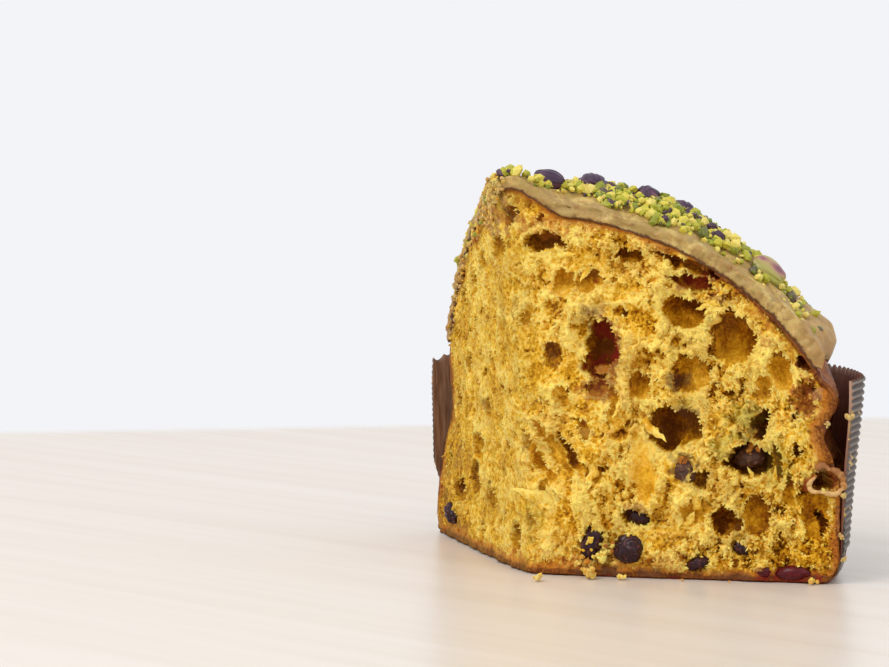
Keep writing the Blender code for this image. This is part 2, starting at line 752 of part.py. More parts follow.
def build_paper(pieces, cutters, card):
    """The case: its section turned round, then cut along the two faces."""
    paper = settled(turned("paper_case", paper_profile(), LOAF_STEPS, pieces), pieces)
    paper.data.materials.append(card)
    for vert in paper.data.vertices:
        vert.co = swayed(Vector(vert.co))
    cut(paper, knife_block("paper_block", cutters, paper_cut_point, 60, 1), "INTERSECT")
    paper = settled(paper, pieces)
    clean_cut(paper)
    return paper


def seat(pieces):
    """Hang every piece on one empty that puts the whole on its box's bottom centre."""
    root = bpy.data.objects.new("panettone", None)
    bpy.context.scene.collection.objects.link(root)
    root.location = AXIS
    for piece in pieces.objects:
        piece.parent = root
        if piece.name == "bread":
            piece.data.shade_flat()
        else:
            piece.data.shade_smooth()
            piece.data.set_sharp_from_angle(angle=math.radians(SMOOTH_DEG))


def main():
    pieces, cutters = start_empty()
    sockets = bpy.data.collections.new("fruit_sockets")
    seats = bpy.data.collections.new("kernel_seats")
    chips = bpy.data.collections.new("chips")
    for collection in (sockets, seats, chips):
        bpy.context.scene.collection.children.link(collection)
    crumb = finish("crumb", (0.82, 0.52, 0.07), 0.8)
    glaze = finish("pistachio_icing", (0.45, 0.36, 0.16), 0.45)
    card = finish("fluted_paper", (0.06, 0.045, 0.05), 0.4)
    nut = finish("pistachio", (0.24, 0.15, 0.17), 0.5)
    skins = {
        "raisin": finish("raisin", (0.03, 0.012, 0.02), 0.35),
        "cherry": finish("cherry", (0.22, 0.01, 0.02), 0.3),
    }
    add_fruit(pieces, sockets, skins)
    build_bread(pieces, cutters, sockets, crumb)
    taken = add_kernels(pieces, seats, nut)
    add_chips(chips, taken)
    build_icing(pieces, cutters, seats, chips, glaze)
    build_paper(pieces, cutters, card)
    seat(pieces)


main()
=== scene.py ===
# %% [markdown]
# A wedge of a low panettone: golden torn crumb on two cut faces, a pistachio icing that has set
# over the dome, chopped and whole pistachios, raisins and candied cherry in the cut, and the
# fluted paper case that it was baked in. The solids of the part come first and stay fixed. Each
# visible surface is then worked out again with numpy, much finer, from the same formulas.

import itertools
import json
import math
from types import SimpleNamespace

import bmesh
import bpy
import numpy as np
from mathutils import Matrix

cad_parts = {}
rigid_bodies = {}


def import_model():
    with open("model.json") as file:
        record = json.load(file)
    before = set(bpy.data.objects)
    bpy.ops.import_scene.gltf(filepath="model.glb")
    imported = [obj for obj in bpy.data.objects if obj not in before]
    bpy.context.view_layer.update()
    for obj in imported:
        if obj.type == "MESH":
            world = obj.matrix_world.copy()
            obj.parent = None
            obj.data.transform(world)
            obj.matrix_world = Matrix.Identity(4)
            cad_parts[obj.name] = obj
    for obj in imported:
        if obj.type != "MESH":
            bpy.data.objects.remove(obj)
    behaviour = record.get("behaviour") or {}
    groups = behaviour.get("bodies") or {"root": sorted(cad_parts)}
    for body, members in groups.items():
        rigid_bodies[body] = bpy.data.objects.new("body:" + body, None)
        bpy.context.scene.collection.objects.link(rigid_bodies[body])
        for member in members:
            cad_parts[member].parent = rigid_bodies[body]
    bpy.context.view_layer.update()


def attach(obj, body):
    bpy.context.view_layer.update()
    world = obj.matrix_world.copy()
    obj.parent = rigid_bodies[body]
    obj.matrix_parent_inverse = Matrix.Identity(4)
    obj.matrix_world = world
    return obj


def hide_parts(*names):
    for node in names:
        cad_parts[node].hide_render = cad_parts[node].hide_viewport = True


for startup in list(bpy.data.objects):
    bpy.data.objects.remove(startup)
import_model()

# %% [markdown]
# The camera is set before anything else, so that each piece can be looked at as it is made. It
# stands a metre away, a little above the loaf, with a long lens, and looks slightly down.

# %% Camera
MM = 0.001
AXIS = np.array((2.62, -52.73, 0)) * MM
FRAME_WIDTH_PX = 889
FOCAL_PX = 3117
CAMERA_FROM_AXIS = np.array((0.6630, -0.7517, 0.1570))
CAMERA_PITCH_DEG = 4.488
CAMERA_TURN_DEG = 42.9
SENSOR_MM = 36

lens = bpy.data.cameras.new("camera")
lens.sensor_width = SENSOR_MM
lens.lens = FOCAL_PX / FRAME_WIDTH_PX * SENSOR_MM
lens.clip_start, lens.clip_end = 0.05, 20
camera = bpy.data.objects.new("camera", lens)
camera.location = AXIS + CAMERA_FROM_AXIS
camera.rotation_euler = (math.radians(90 - CAMERA_PITCH_DEG), 0, math.radians(CAMERA_TURN_DEG))
bpy.context.scene.collection.objects.link(camera)
bpy.context.scene.camera = camera
print("camera lens:", round(lens.lens, 1), "mm")

# %% [markdown]
# Bread has no straight line in it, so almost every surface here is a formula plus noise. The
# noise is worked out for whole arrays at once: each corner of a lattice has a random slope, and
# a point blends what the eight corners round it say. Tables of random numbers with a fixed seed
# give the same loaf every time.

# %% Noise for whole arrays
table = np.random.default_rng(1712)
SHUFFLE = table.permutation(256)
SLOPES = table.normal(size=(256, 3))
SLOPES /= np.linalg.norm(SLOPES, axis=1, keepdims=True)
SCATTER = table.random((256, 4))


def smooth_step(value, low, high):
    """0 below low, 1 above high, and 3s² - 2s³ between, where s is the share of the way."""
    share = np.clip((value - low) / (high - low), 0, 1)
    return share * share * (3 - 2 * share)


def bell(value, middle, span):
    """A bell curve: e to the power of minus the squared distance from its middle, in spans."""
    return np.exp(-(((value - middle) / span) ** 2))


def lattice_code(cells, seed):
    """A number from 0 to 255 for each lattice cell: x, y and z shuffled one after another."""
    code = SHUFFLE[(cells[..., 0] + seed) & 255]
    code = SHUFFLE[(code + cells[..., 1]) & 255]
    return SHUFFLE[(code + cells[..., 2]) & 255]


def noise(points, size, seed=0):
    """Gradient noise, about -1 to 1, whose bumps are about as wide as a size."""
    places = points / size
    cells = np.floor(places).astype(np.int64)
    inside = places - cells
    fade = inside**3 * (inside * (inside * 6 - 15) + 10)
    total = np.zeros(points.shape[:-1])
    for corner in np.ndindex(2, 2, 2):
        step = np.array(corner)
        slopes = SLOPES[lattice_code(cells + step, seed)]
        weight = np.prod(np.where(step == 1, fade, 1 - fade), axis=-1)
        total += weight * ((inside - step) * slopes).sum(axis=-1)
    return total * 1.6


def fractal(points, size, seed=0, octaves=3, keep=0.5):
    """Noise added to itself at half the size and a kept share of the height, several times."""
    total = np.zeros(points.shape[:-1])
    for octave in range(octaves):
        total += noise(points, size / 2**octave, seed + octave) * keep**octave
    return total


def stacked(*parts):
    """Arrays joined as the coordinates of points."""
    return np.stack(np.broadcast_arrays(*parts), axis=-1)


def unit(vectors):
    """Vectors of the same directions, each of length 1."""
    return vectors / np.linalg.norm(vectors, axis=-1, keepdims=True)


def held(values):
    """Values kept between 0 and 1."""
    return np.clip(values, 0, 1)


print("noise at one point:", round(float(noise(np.array((0.3, 0.7, 0.1)), 1)), 4))

# %% [markdown]
# The wedge is known by a few lines: the two cut faces, which meet in a rounded tip that leans
# out, the dome, the way that the knife pressed it down, and the paper that flares round it.
# These are the part's own formulas again, for arrays instead of single points.

# %% The shape of the wedge
HALF_ANGLE = math.radians(59)
TIP_ROUNDING = 6 * MM
TIP_LEAN = 9.5 * MM
TIP_LEAN_REACH = 40 * MM
# The left face's waist and dent: depth, height, span, and where along it they start and are
# full, in mm.
LEFT_HOLLOWS = ((2.6, 78, 22, 30, 100), (5, 43, 19, 62, 98))
SHOULDER_Z = 60 * MM
DOME_RADIUS = 100 * MM
DOME_RISE = 65.5 * MM
DOME_POWER = 1.3
PRESS_REACH = 14 * MM
PRESS_RIGHT = 8.5 * MM
PRESS_LEFT = 3 * MM
PRESS_FADE = 14 * MM

RIGHT = np.array((math.sin(HALF_ANGLE), math.cos(HALF_ANGLE), 0))
LEFT = np.array((-RIGHT[0], RIGHT[1], 0))
RIGHT_OUT = np.array((RIGHT[1], -RIGHT[0], 0))
LEFT_OUT = np.array((-RIGHT[1], -RIGHT[0], 0))
UP = np.array((0, 0, 1))
# Each cut's own direction and way out, how deep it was pressed, and where along it the press
# starts and is full.
PRESSES = (
    (RIGHT, RIGHT_OUT, PRESS_RIGHT, -6 * MM, 14 * MM),
    (LEFT, LEFT_OUT, PRESS_LEFT, 8 * MM, 30 * MM),
)


def cut_line(along, rounding=TIP_ROUNDING):
    """The cut from above: along times the cut's direction, |along| rounded by a hyperbola."""
    return stacked(along * RIGHT[0], np.hypot(along, rounding) * RIGHT[1], 0 * along)


def cut_outward(along, rounding=TIP_ROUNDING):
    """Out of the cut: the right and left outward directions, mixed by along over its own length."""
    share = (along / np.hypot(along, rounding * 1.5))[..., None]
    return unit(RIGHT_OUT * (1 + share) + LEFT_OUT * (1 - share))


def dome_height(radius):
    """Shoulder height plus the rise times the power 1.3 of the circle's cosine."""
    share = held(radius / DOME_RADIUS)
    return SHOULDER_Z + DOME_RISE * np.sqrt(1 - share * share) ** DOME_POWER


def lean(along, height):
    """The tip leans to the left as height to the power 1.5.

    The left face has a waist and a dent, each a bell of the height that grows away from the tip.
    """
    rise = np.maximum(height, 0) / dome_height(0)
    tip = -RIGHT * (TIP_LEAN * rise**1.5 * bell(along, 0, TIP_LEAN_REACH))[..., None]
    total = 0
    for deep, level, span, start, full in LEFT_HOLLOWS:
        grown = smooth_step(-along, start * MM, full * MM)
        total = total + deep * MM * bell(height, level * MM, span * MM) * grown
    return tip - LEFT_OUT * total[..., None]


def pressed(points):
    """How far the knife pressed the dome: a bell of the way behind each face, grown along it."""
    total = 0
    for along_line, outward, depth, start, full in PRESSES:
        behind = np.maximum(-(points @ outward), 0)
        grown = smooth_step(points @ along_line, start, full)
        total = total + depth * grown * bell(behind, 0, PRESS_REACH)
    above = held((points[..., 2] - SHOULDER_Z) / PRESS_FADE)
    return np.minimum(total, PRESS_RIGHT) * above


def cut_place(along, height, out=0, rounding=TIP_ROUNDING):
    """A point of the cut: its line from above, the lean, a step outwards, and the height."""
    step = np.broadcast_to(np.asarray(out, float), np.shape(along))[..., None]
    level = cut_line(along, rounding) + lean(along, height) + cut_outward(along) * step
    return level + UP * height[..., None]


def seen_across(along, height):
    """How far right of the axis a point of the right cut shows, rounding and lean included."""
    return cut_place(along, height) @ RIGHT


def along_from(across, height):
    """The along of the right cut whose point is seen at a place, found in a few corrections."""
    along = across
    for _ in range(4):
        along = along + across - seen_across(along, height)
    return along


def bread_top(places):
    """The bread's height over a place seen from above: the dome less what the knife pressed."""
    radius = np.hypot(places[..., 0], places[..., 1])
    over = places * (1, 1, 0) + UP * dome_height(radius)[..., None]
    return over[..., 2] - pressed(over)


print("tip of the bread:", round(float(bread_top(np.zeros(3))) * 1000, 1), "mm high")

# %% [markdown]
# The dough rose against a low paper tray, so the crust follows the paper's flare. Beside the
# right cut the wall hugs the loaf, and further round it sways out. The crust's upper half has
# shrunk away from it. Both are straight lines between a few heights, plus bells.

# %% The paper's wall and the crust behind it
PAPER_FLOOR = 0.9 * MM
PAPER_WALL = 0.7 * MM
PAPER_BASE_RADIUS = 103.1 * MM
PAPER_FLARE = 5 * MM
PAPER_HEIGHT = 65 * MM
PAPER_CORNER = 6 * MM
CRUMB_GAP = 0.35 * MM
HUG_LOW, HUG_RISE, HUG_SPAN_DEG = 1.4 * MM, 4.2 * MM, 8
SWAY_OUT, SWAY_AT_DEG, SWAY_SPAN_DEG = 2.6 * MM, 33, 16
RIGHT_CUT_DEG = 31
LEFT_CUT_DEG = 149
WEDGE_DEG = LEFT_CUT_DEG - RIGHT_CUT_DEG
LOOSE_CRUST = (34 * MM, 44 * MM, 0.3)
CRUST_PULL, PULL_Z, PULL_SPAN, PULL_SPAN_DEG = 4.4 * MM, 46 * MM, 8.5 * MM, 24
CRUST_EASE_Z = 51 * MM
CRUST_GAP_MM = 0.45
# Height of the crust and how far it stands behind the paper, in mm.
CRUST_SIDE = (
    (12, CRUST_GAP_MM), (22, CRUST_GAP_MM), (33, CRUST_GAP_MM),
    (39, 2), (46, 4.6), (53, 5.8),
)
CRUMB_FLOOR = PAPER_FLOOR + CRUMB_GAP


def paper_radius(height):
    """The inside of the paper: a straight flare from the floor to the rim."""
    return PAPER_BASE_RADIUS + PAPER_FLARE * height / PAPER_HEIGHT


def paper_sway(direction_deg, height):
    """How far the wall stands out: a bell behind the right cut, less a bell that hugs it there."""
    rise = held(height / PAPER_HEIGHT)
    past_cut = direction_deg - RIGHT_CUT_DEG
    hug = (HUG_LOW + HUG_RISE * rise) * bell(past_cut, 0, HUG_SPAN_DEG)
    return SWAY_OUT * rise**2 * bell(past_cut, SWAY_AT_DEG, SWAY_SPAN_DEG) - hug


def crust_radius(direction_deg, height):
    """The crust's side: straight lines between a few heights, a round foot, and the paper's sway.

    By the right cut it has shrunk a little further away from the paper, in a bell. Both fade out
    below the shoulder, so that no lip is left there.
    """
    levels = [low * MM for low, _ in CRUST_SIDE] + [SHOULDER_Z]
    radii = [paper_radius(low * MM) - back * MM for low, back in CRUST_SIDE] + [DOME_RADIUS]
    side = np.interp(height, levels, radii)
    corner = PAPER_CORNER - CRUMB_GAP
    below = np.clip(corner - (height - CRUMB_FLOOR), 0, corner)
    foot = paper_radius(height) - CRUST_GAP_MM * MM - corner + np.sqrt(corner**2 - below**2)
    radius = np.where(height < CRUMB_FLOOR + corner, foot, side)
    start, full, share = LOOSE_CRUST
    loose = smooth_step(height, start, full)
    pull = CRUST_PULL * bell(height, PULL_Z, PULL_SPAN)
    pull = pull * bell(direction_deg, RIGHT_CUT_DEG, PULL_SPAN_DEG)
    sway = paper_sway(direction_deg, height) * (1 - (1 - share) * loose)
    return radius + (sway - pull) * (1 - smooth_step(height, CRUST_EASE_Z, SHOULDER_Z))


low_crust = crust_radius(RIGHT_CUT_DEG, np.array(30 * MM))
print("crust at the right cut, 30 mm up:", round(float(low_crust) * 1000, 1), "mm")

# %% [markdown]
# Every piece becomes a mesh in the same way: arrays of points and faces go in, neighbouring
# patches are welded, faces are turned outwards, and the piece rides on the part's one body. A
# value for each point, such as how deep it lies in a hollow, is kept as a named attribute, which
# the finishes read later. That holds for all views, where a painted picture would not.

# %% From arrays to pieces
WELD = 1e-6


def numbered(grid):
    """The numbers of a grid's points, row by row."""
    rows, columns = grid.shape[:2]
    return np.arange(rows * columns).reshape(rows, columns)


def grid_quads(number):
    """The quads between a numbered grid's neighbours, or between any two of its rows or columns."""
    corners = (number[:-1, :-1], number[:-1, 1:], number[1:, 1:], number[1:, :-1])
    return np.stack(corners, axis=-1).reshape(-1, 4)


def rim_of(number):
    """The numbers round a grid's rim: along its first row, down, back and up again."""
    return np.concatenate((number[0, :-1], number[:-1, -1], number[-1, :0:-1], number[:0:-1, 0]))


def band(rim, other):
    """The quads of a closed band between two rims."""
    return grid_quads(np.stack((np.append(rim, rim[0]), np.append(other, other[0]))))


def joined(patches):
    """Several (points, faces) patches as one pair, their faces renumbered."""
    points, faces, count = [], [], 0
    for patch_points, patch_faces in patches:
        flat = np.asarray(patch_points).reshape(-1, 3)
        points.append(flat)
        faces += [tuple(int(i) + count for i in face) for face in patch_faces]
        count += len(flat)
    return np.concatenate(points), faces


def make_piece(name, points, faces, finish, values=None, smooth=True, weld=True):
    """A closed mesh piece at the part's place, with its values as point attributes."""
    mesh = bpy.data.meshes.new(name)
    placed = np.asarray(points).reshape(-1, 3) + AXIS
    mesh.from_pydata(placed.tolist(), [], [tuple(face) for face in faces])
    for key, numbers in (values or {}).items():
        layer = mesh.attributes.new(key, "FLOAT", "POINT")
        layer.data.foreach_set("value", np.ascontiguousarray(numbers, np.float32).ravel())
    work = bmesh.new()
    work.from_mesh(mesh)
    if weld:
        bmesh.ops.remove_doubles(work, verts=work.verts[:], dist=WELD)
    bmesh.ops.recalc_face_normals(work, faces=work.faces[:])
    work.to_mesh(mesh)
    open_edges = sum(1 for edge in work.edges if not edge.is_manifold)
    work.free()
    mesh.polygons.foreach_set("use_smooth", [smooth] * len(mesh.polygons))
    mesh.materials.append(finish)
    piece = bpy.data.objects.new(name, mesh)
    bpy.context.scene.collection.objects.link(piece)
    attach(piece, "root")
    print(name, len(mesh.polygons), "faces,", open_edges, "open edges")
    return piece


# %% [markdown]
# Shader maths is easier to read as sums and products than as a drawing of nodes. This class
# wraps a socket, so that an expression such as 1 - mask * 0.5 adds its own Math nodes.

# %% Sockets that take part in sums
class Wire:
    """A socket of a material's nodes. Arithmetic on it adds Math nodes."""

    def __init__(self, tree, socket=None):
        self.tree = tree
        self.socket = socket

    def node(self, kind, settings=None, inputs=None, out=0):
        """Any node: its settings are set first, then its sockets are given values or links."""
        made = self.tree.nodes.new(kind)
        for key, value in (settings or {}).items():
            setattr(made, key, value)
        for key, value in (inputs or {}).items():
            if isinstance(value, Wire):
                self.tree.links.new(value.socket, made.inputs[key])
            else:
                made.inputs[key].default_value = value
        return Wire(self.tree, made.outputs[out])

    def ramp(self, stops):
        """A colour for each value from 0 to 1, blended between stops: a place and a colour."""
        made = self.node("ShaderNodeValToRGB", None, {0: self})
        elements = made.socket.node.color_ramp.elements
        while len(elements) < len(stops):
            elements.new(0.5)
        for element, (place, colour) in zip(list(elements), stops):
            element.position, element.color = place, (*colour, 1)
        return made

    def math(self, operation, first, second, clamp=False):
        """One Math node of two values, each a Wire or a number."""
        settings = {"operation": operation, "use_clamp": clamp}
        return self.node("ShaderNodeMath", settings, {0: first, 1: second})

    def __add__(self, other):
        return self.math("ADD", self, other)

    __radd__ = __add__

    def __sub__(self, other):
        return self.math("SUBTRACT", self, other)

    def __rsub__(self, other):
        return self.math("SUBTRACT", other, self)

    def __mul__(self, other):
        return self.math("MULTIPLY", self, other)

    __rmul__ = __mul__

    def held(self):
        """The value kept between 0 and 1."""
        return self.math("ADD", self, 0, clamp=True)

    def step(self, low, high):
        """A smooth rise from 0 at low to 1 at high."""
        inputs = {0: self, 1: low, 2: high, 3: 0, 4: 1}
        return self.node("ShaderNodeMapRange", {"interpolation_type": "SMOOTHSTEP"}, inputs)

    def mix(self, first, second):
        """Two colours mixed by this value: the first at 0, the second at 1."""
        first, second = ((*c, 1) if isinstance(c, tuple) else c for c in (first, second))
        inputs = {0: self, 6: first, 7: second}
        return self.node("ShaderNodeMix", {"data_type": "RGBA"}, inputs, out=2)

    def value_of(self, name):
        """A value that the mesh holds at each point."""
        return self.node("ShaderNodeAttribute", {"attribute_name": name}, out=2)

    def cells(self, size):
        """Distance to the nearest of many scattered points, in cells: 0 at a pore's middle."""
        inputs = {"Vector": self.place(), "Scale": 1 / size}
        return self.node("ShaderNodeTexVoronoi", None, inputs)

    def place(self):
        """The piece's own coordinates, in metres."""
        return self.node("ShaderNodeTexCoord", out=3)

    def grain(self, size, detail=2, roughness=0.5, stretch=(1, 1, 1)):
        """Noise of a size in metres, 0 to 1, stretched along the axes if asked."""
        placed = self.node("ShaderNodeMapping", None, {0: self.place(), 3: stretch})
        inputs = {"Vector": placed, "Scale": 1 / size, "Detail": detail, "Roughness": roughness}
        return self.node("ShaderNodeTexNoise", None, inputs)


def new_finish(name, roughness=0.5, **constants):
    """A material with a Principled shader. Returns the material, its shader and a Wire."""
    material = bpy.data.materials.new(name)
    material.use_nodes = True
    shader = material.node_tree.nodes["Principled BSDF"]
    shader.inputs["Roughness"].default_value = roughness
    for key, value in constants.items():
        shader.inputs[key.replace("_", " ")].default_value = value
    return material, shader, Wire(material.node_tree)


def plug(shader, **links):
    """Link values to a shader's sockets, named with _ for each space."""
    for key, value in links.items():
        value.tree.links.new(value.socket, shader.inputs[key.replace("_", " ")])


def bumped(height, strength, distance):
    """A height in the range 0 to 1 as a disturbed normal."""
    inputs = {"Strength": strength, "Distance": distance, "Height": height}
    return height.node("ShaderNodeBump", None, inputs)


print("the sockets are ready")

# %% [markdown]
# The crumb is what the eye goes to. Its dough is a foam of gas bubbles, from pinholes to caves
# as big as a thumb, and tearing it leaves pale ragged edges round hollows that glow amber. It
# could be a bump map, but then every outline would be straight. Here it is real relief. A point
# of the cut moves inwards until it reaches the far wall of each bubble that holds it, first for
# big bubbles and then for smaller ones, so walls of big hollows get pits of their own.

# %% The caves that can be named
# Across the face from the axis, height, half width, half height, depth in mm, tilt in degrees,
# smoothness, and darkness, which is painted shade, most of it under the upper rim.
CAVES = (
    (5.4, 107.6, 7.8, 3.6, 8.5, 2, 0.7, 1.1),
    (32.8, 103.7, 4.8, 3, 7, -8, 0.6, 0.8),
    (55, 99.8, 15, 1.9, 6, -17, 0.4, 0.7),
    (53.6, 95.3, 8, 3, 6.5, -18, 0.5, 0.5),
    (51, 85.6, 8, 5.2, 8.5, -16, 0.95, 0.75),
    (66.4, 77.2, 7.4, 9.4, 8.5, 14, 0.97, 0.12),
    (24.4, 72.6, 5.9, 10.8, 9.5, -4, 0.8, 1.15),
    (23.5, 60.5, 4, 3.6, 3.5, 0, 0.4, 0.3),
    (36.9, 61.8, 4.3, 5.2, 5, -10, 0.85, 0.15),
    (53.4, 65.6, 6.6, 7, 7, 4, 0.75, 0.25),
    (46, 48, 7.4, 7.6, 12, 24, 0.92, 1.4),
    (52.4, 49, 5.6, 6.4, 9, 10, 0.9, 0.8),
    (72.6, 38.2, 7.8, 5.8, 12, -12, 0.5, 1.2),
    (76, 50.4, 2.2, 6.2, 9, -14, 0.3, 1.3),
    (38.4, 36, 4.8, 13.5, 2.6, 4, 0.9, 0),
    (57, 32.5, 2.6, 4, 7, -28, 0.3, 1.2),
    (65, 18.6, 5.2, 5.6, 8.5, 0, 0.7, 0.85),
    (75, 20.6, 5, 6.6, 4.2, -8, 0.9, 0.1),
    (55.4, 22.2, 4.4, 6, 3.6, -14, 0.8, 0.2),
    (35.6, 19, 4.6, 3.4, 6.5, 0, 0.3, 1),
    (12, 94.3, 4.2, 4.6, 3.6, 0, 0.8, 0.35),
    (20.8, 95.8, 4.6, 4.6, 4, 0, 0.8, 0.4),
    (-5.6, 116.6, 3, 3.2, 5, 0, 0.8, 0.5),
    (-11, 104, 3.4, 4.6, 3, 10, 0.9, 0.3),
    (3.4, 38.5, 2.3, 12.5, 3.8, 33, 0.9, 0.12),
    (9, 41.5, 1.9, 13, 3.4, 34, 0.9, 0.12),
    (15.4, 38, 1.9, 10, 3.6, 30, 0.8, 0.3),
    (18.5, 47.5, 2, 5, 2.6, 28, 0.6, 0.2),
    (22, 33.5, 4.5, 3.2, 3.6, -20, 0.5, 0.4),
    (6, 27, 4, 3.4, 2.6, 0, 0.6, 0.3),
    (93.6, 22, 5, 9.5, 3, 8, 0.9, 0.3),
    (95.8, 18.5, 1.3, 5.5, 6, 9, 0.3, 1.2),
    (86, 29, 3, 6.4, 3, 12, 0.85, 0.3),
    (80.8, 38.4, 2.2, 6.2, 4.2, 4, 0.6, 0.7),
    (87.6, 42, 1.6, 3.4, 4, 10, 0.3, 1),
    (87.2, 53, 1.5, 2.4, 4, 0, 0.3, 1),
    (91, 62, 2.8, 3, 3, 0, 0.4, 0.8),
    (8.8, 71.5, 3, 5.4, 3, 10, 0.4, 0.6),
    (82.5, 67, 4.2, 7.6, 3.6, 20, 0.85, 0.3),
    (76.8, 62.5, 3.4, 4.4, 2.6, 0, 0.85, 0.1),
    (89.8, 70.8, 1.8, 4.6, 7, 16, 0.4, 1.2),
    (94.2, 67.2, 1.6, 2, 5, 30, 0.3, 1.2),
    (96.6, 32.9, 4.8, 4, 9, 0, 0.6, 1.3),
    (1, 17, 2.4, 6, 2.4, 24, 0.5, 0.3),
    (29, 54, 2.2, 7.5, 2.2, 4, 0.7, 0.2),
    (17, 80, 2.8, 2.2, 2.4, 0, 0.4, 0.4),
    (44, 72, 2.2, 1.6, 2.4, 0, 0.3, 0.4),
    (66, 60, 2, 1.6, 3, 0, 0.3, 0.5),
    (31, 85.5, 2.4, 1.8, 2.2, 0, 0.4, 0.4),
    (0.5, 84, 3.6, 3, 2.4, 20, 0.6, 0.2),
    (12, 58, 3, 4, 2.6, 20, 0.6, 0.3),
    (30.5, 45.5, 3.4, 2.6, 2.8, 0, 0.4, 0.5),
)
CAVE_ROUNDNESS = 0.6
CAVE_UNDERCUT = 1.2
CAVE_DEEPER_ABOVE = 0.3
CAVE_WANDER, CAVE_WANDER_SIZE = 2 * MM, 5 * MM
# How far into a cave its rim slopes: everywhere, and more at its foot.
CAVE_RIM, CAVE_RIM_AT_FOOT = 0.12, 0.45
# Least share of a cave's painted shade, which its foot has.
CAVE_FOOT_SHADE = 0.12
# Size of the noise and how far it moves a torn edge, in mm.
RAGGED = ((1.8, 0.75), (0.9, 0.4))
# Crumb left standing in a cave: along, height, half width, half height and how far it stands
# out, in mm.
TUFTS = (
    (60.4, 83.6, 2.5, 2, 5.5),
    (58.6, 81.6, 1.2, 1.4, 5),
    (24.6, 66.6, 3.2, 1.8, 5),
    (56.5, 59, 6.5, 1.6, 3.5),
    (7, 103.2, 6, 0.9, 2.6),
    (59.5, 92.6, 3, 1, 3),
    (38.5, 50, 1.5, 6.5, 2.2),
)


def ragged_shift(flat, seed):
    """A small step across the face from two sizes of noise, which makes an edge look torn."""
    total = np.zeros(flat.shape[:-1])
    for number, (size, far) in enumerate(RAGGED):
        total += noise(flat, size * MM, seed + number) * far * MM
    return total


def in_ellipse(along, height, middle, level, wide, tall, tilt):
    """1 - r² in a tilted ellipse, and how far up in it a point lies, in half heights."""
    turn = math.radians(tilt)
    right, up = along - middle * MM, height - level * MM
    across = (right * math.cos(turn) + up * math.sin(turn)) / (wide * MM)
    upright = (up * math.cos(turn) - right * math.sin(turn)) / (tall * MM)
    return 1 - across**2 - upright**2, np.clip(upright, -1, 1)


def cave_depth(along, height, caves):
    """Depth and smoothness of the deepest cave at a place.

    The bowl is depth·(1 - r²)^0.6, deeper in its upper part. It is a fifth wider than its mouth,
    which is cut ragged, so the rim overhangs at the top and slopes gently out at the bottom.
    """
    flat = stacked(along, 0, height)
    along = along + noise(flat, CAVE_WANDER_SIZE, 31) * CAVE_WANDER
    height = height + noise(flat, CAVE_WANDER_SIZE, 32) * CAVE_WANDER
    torn_along, torn_height = along + ragged_shift(flat, 33), height + ragged_shift(flat, 36)
    deepest, smooth = np.zeros_like(along), np.zeros_like(along)
    for middle, level, wide, tall, depth, tilt, calm, _ in caves:
        mouth, _ = in_ellipse(torn_along, torn_height, middle, level, wide, tall, tilt)
        spread = (wide * CAVE_UNDERCUT, tall * CAVE_UNDERCUT)
        inside, upright = in_ellipse(along, height, middle, level, *spread, tilt)
        slope = CAVE_RIM + CAVE_RIM_AT_FOOT * smooth_step(-upright, 0, 0.8)
        opened = smooth_step(mouth / slope, 0, 1)
        bowl = depth * MM * held(inside) ** CAVE_ROUNDNESS
        bowl = bowl * (1 + CAVE_DEEPER_ABOVE * upright) * opened
        smooth = np.where(bowl > deepest, calm * smooth_step(mouth, 0.05, 0.4), smooth)
        deepest = np.maximum(deepest, bowl)
    return deepest, smooth


def dark_side(along, height, caves):
    """How little light reaches a place: a cave's darkness, most of it under its upper rim."""
    darkest = np.zeros_like(along)
    for middle, level, wide, tall, _, tilt, _, dark in caves:
        inside, upright = in_ellipse(along, height, middle, level, wide, tall, tilt)
        shaded = CAVE_FOOT_SHADE + (1 - CAVE_FOOT_SHADE) * smooth_step(upright, -0.7, 0.6)
        darkest = np.maximum(darkest, smooth_step(inside, 0, 0.45) * shaded * dark)
    return darkest


def tuft_height(along, height):
    """Tufts left in the caves: half the root of 1 - r², ragged like the rims."""
    flat = stacked(along, 0, height)
    along, height = along + ragged_shift(flat, 39), height + ragged_shift(flat, 41)
    total = np.zeros_like(along)
    for middle, level, wide, tall, far in TUFTS:
        inside, _ = in_ellipse(along, height, middle, level, wide, tall, 0)
        total = np.maximum(total, far * MM * np.sqrt(held(inside * 1.6)))
    return total


print("named caves:", len(CAVES))


# %% [markdown]
# Between its caves the dough is a foam, and one rule serves for every size: a point inside a
# bubble moves on to that bubble's far wall. Pits drawn on a texture would have no walls and cast
# no shadow. Tearing also splits dough into layers, and their ragged edges are steps in the relief.

# %% Bubbles of every size
# Cell size in mm, smallest and largest radius as shares of it, how much a smooth wall loses.
FOAM = ((5, 0.14, 0.34, 0.9), (2.6, 0.18, 0.42, 0.9), (1.4, 0.24, 0.48, 0.8))
FINE_FOAM = ((2.2, 0.14, 0.36, 0.9), (1.1, 0.2, 0.46, 0.8))
FOAM_BEND = 0.4
FOAM_DEPTH = 0.75
# Foam comes in patches: their size, and how much of it is left between them.
FOAM_PATCH, FOAM_LEAST = 11 * MM, 0.35
# Size and height in mm of the layers that tearing leaves.
PLATES = ((8, 1.5), (4.2, 1), (2.3, 0.65), (1.3, 0.4))


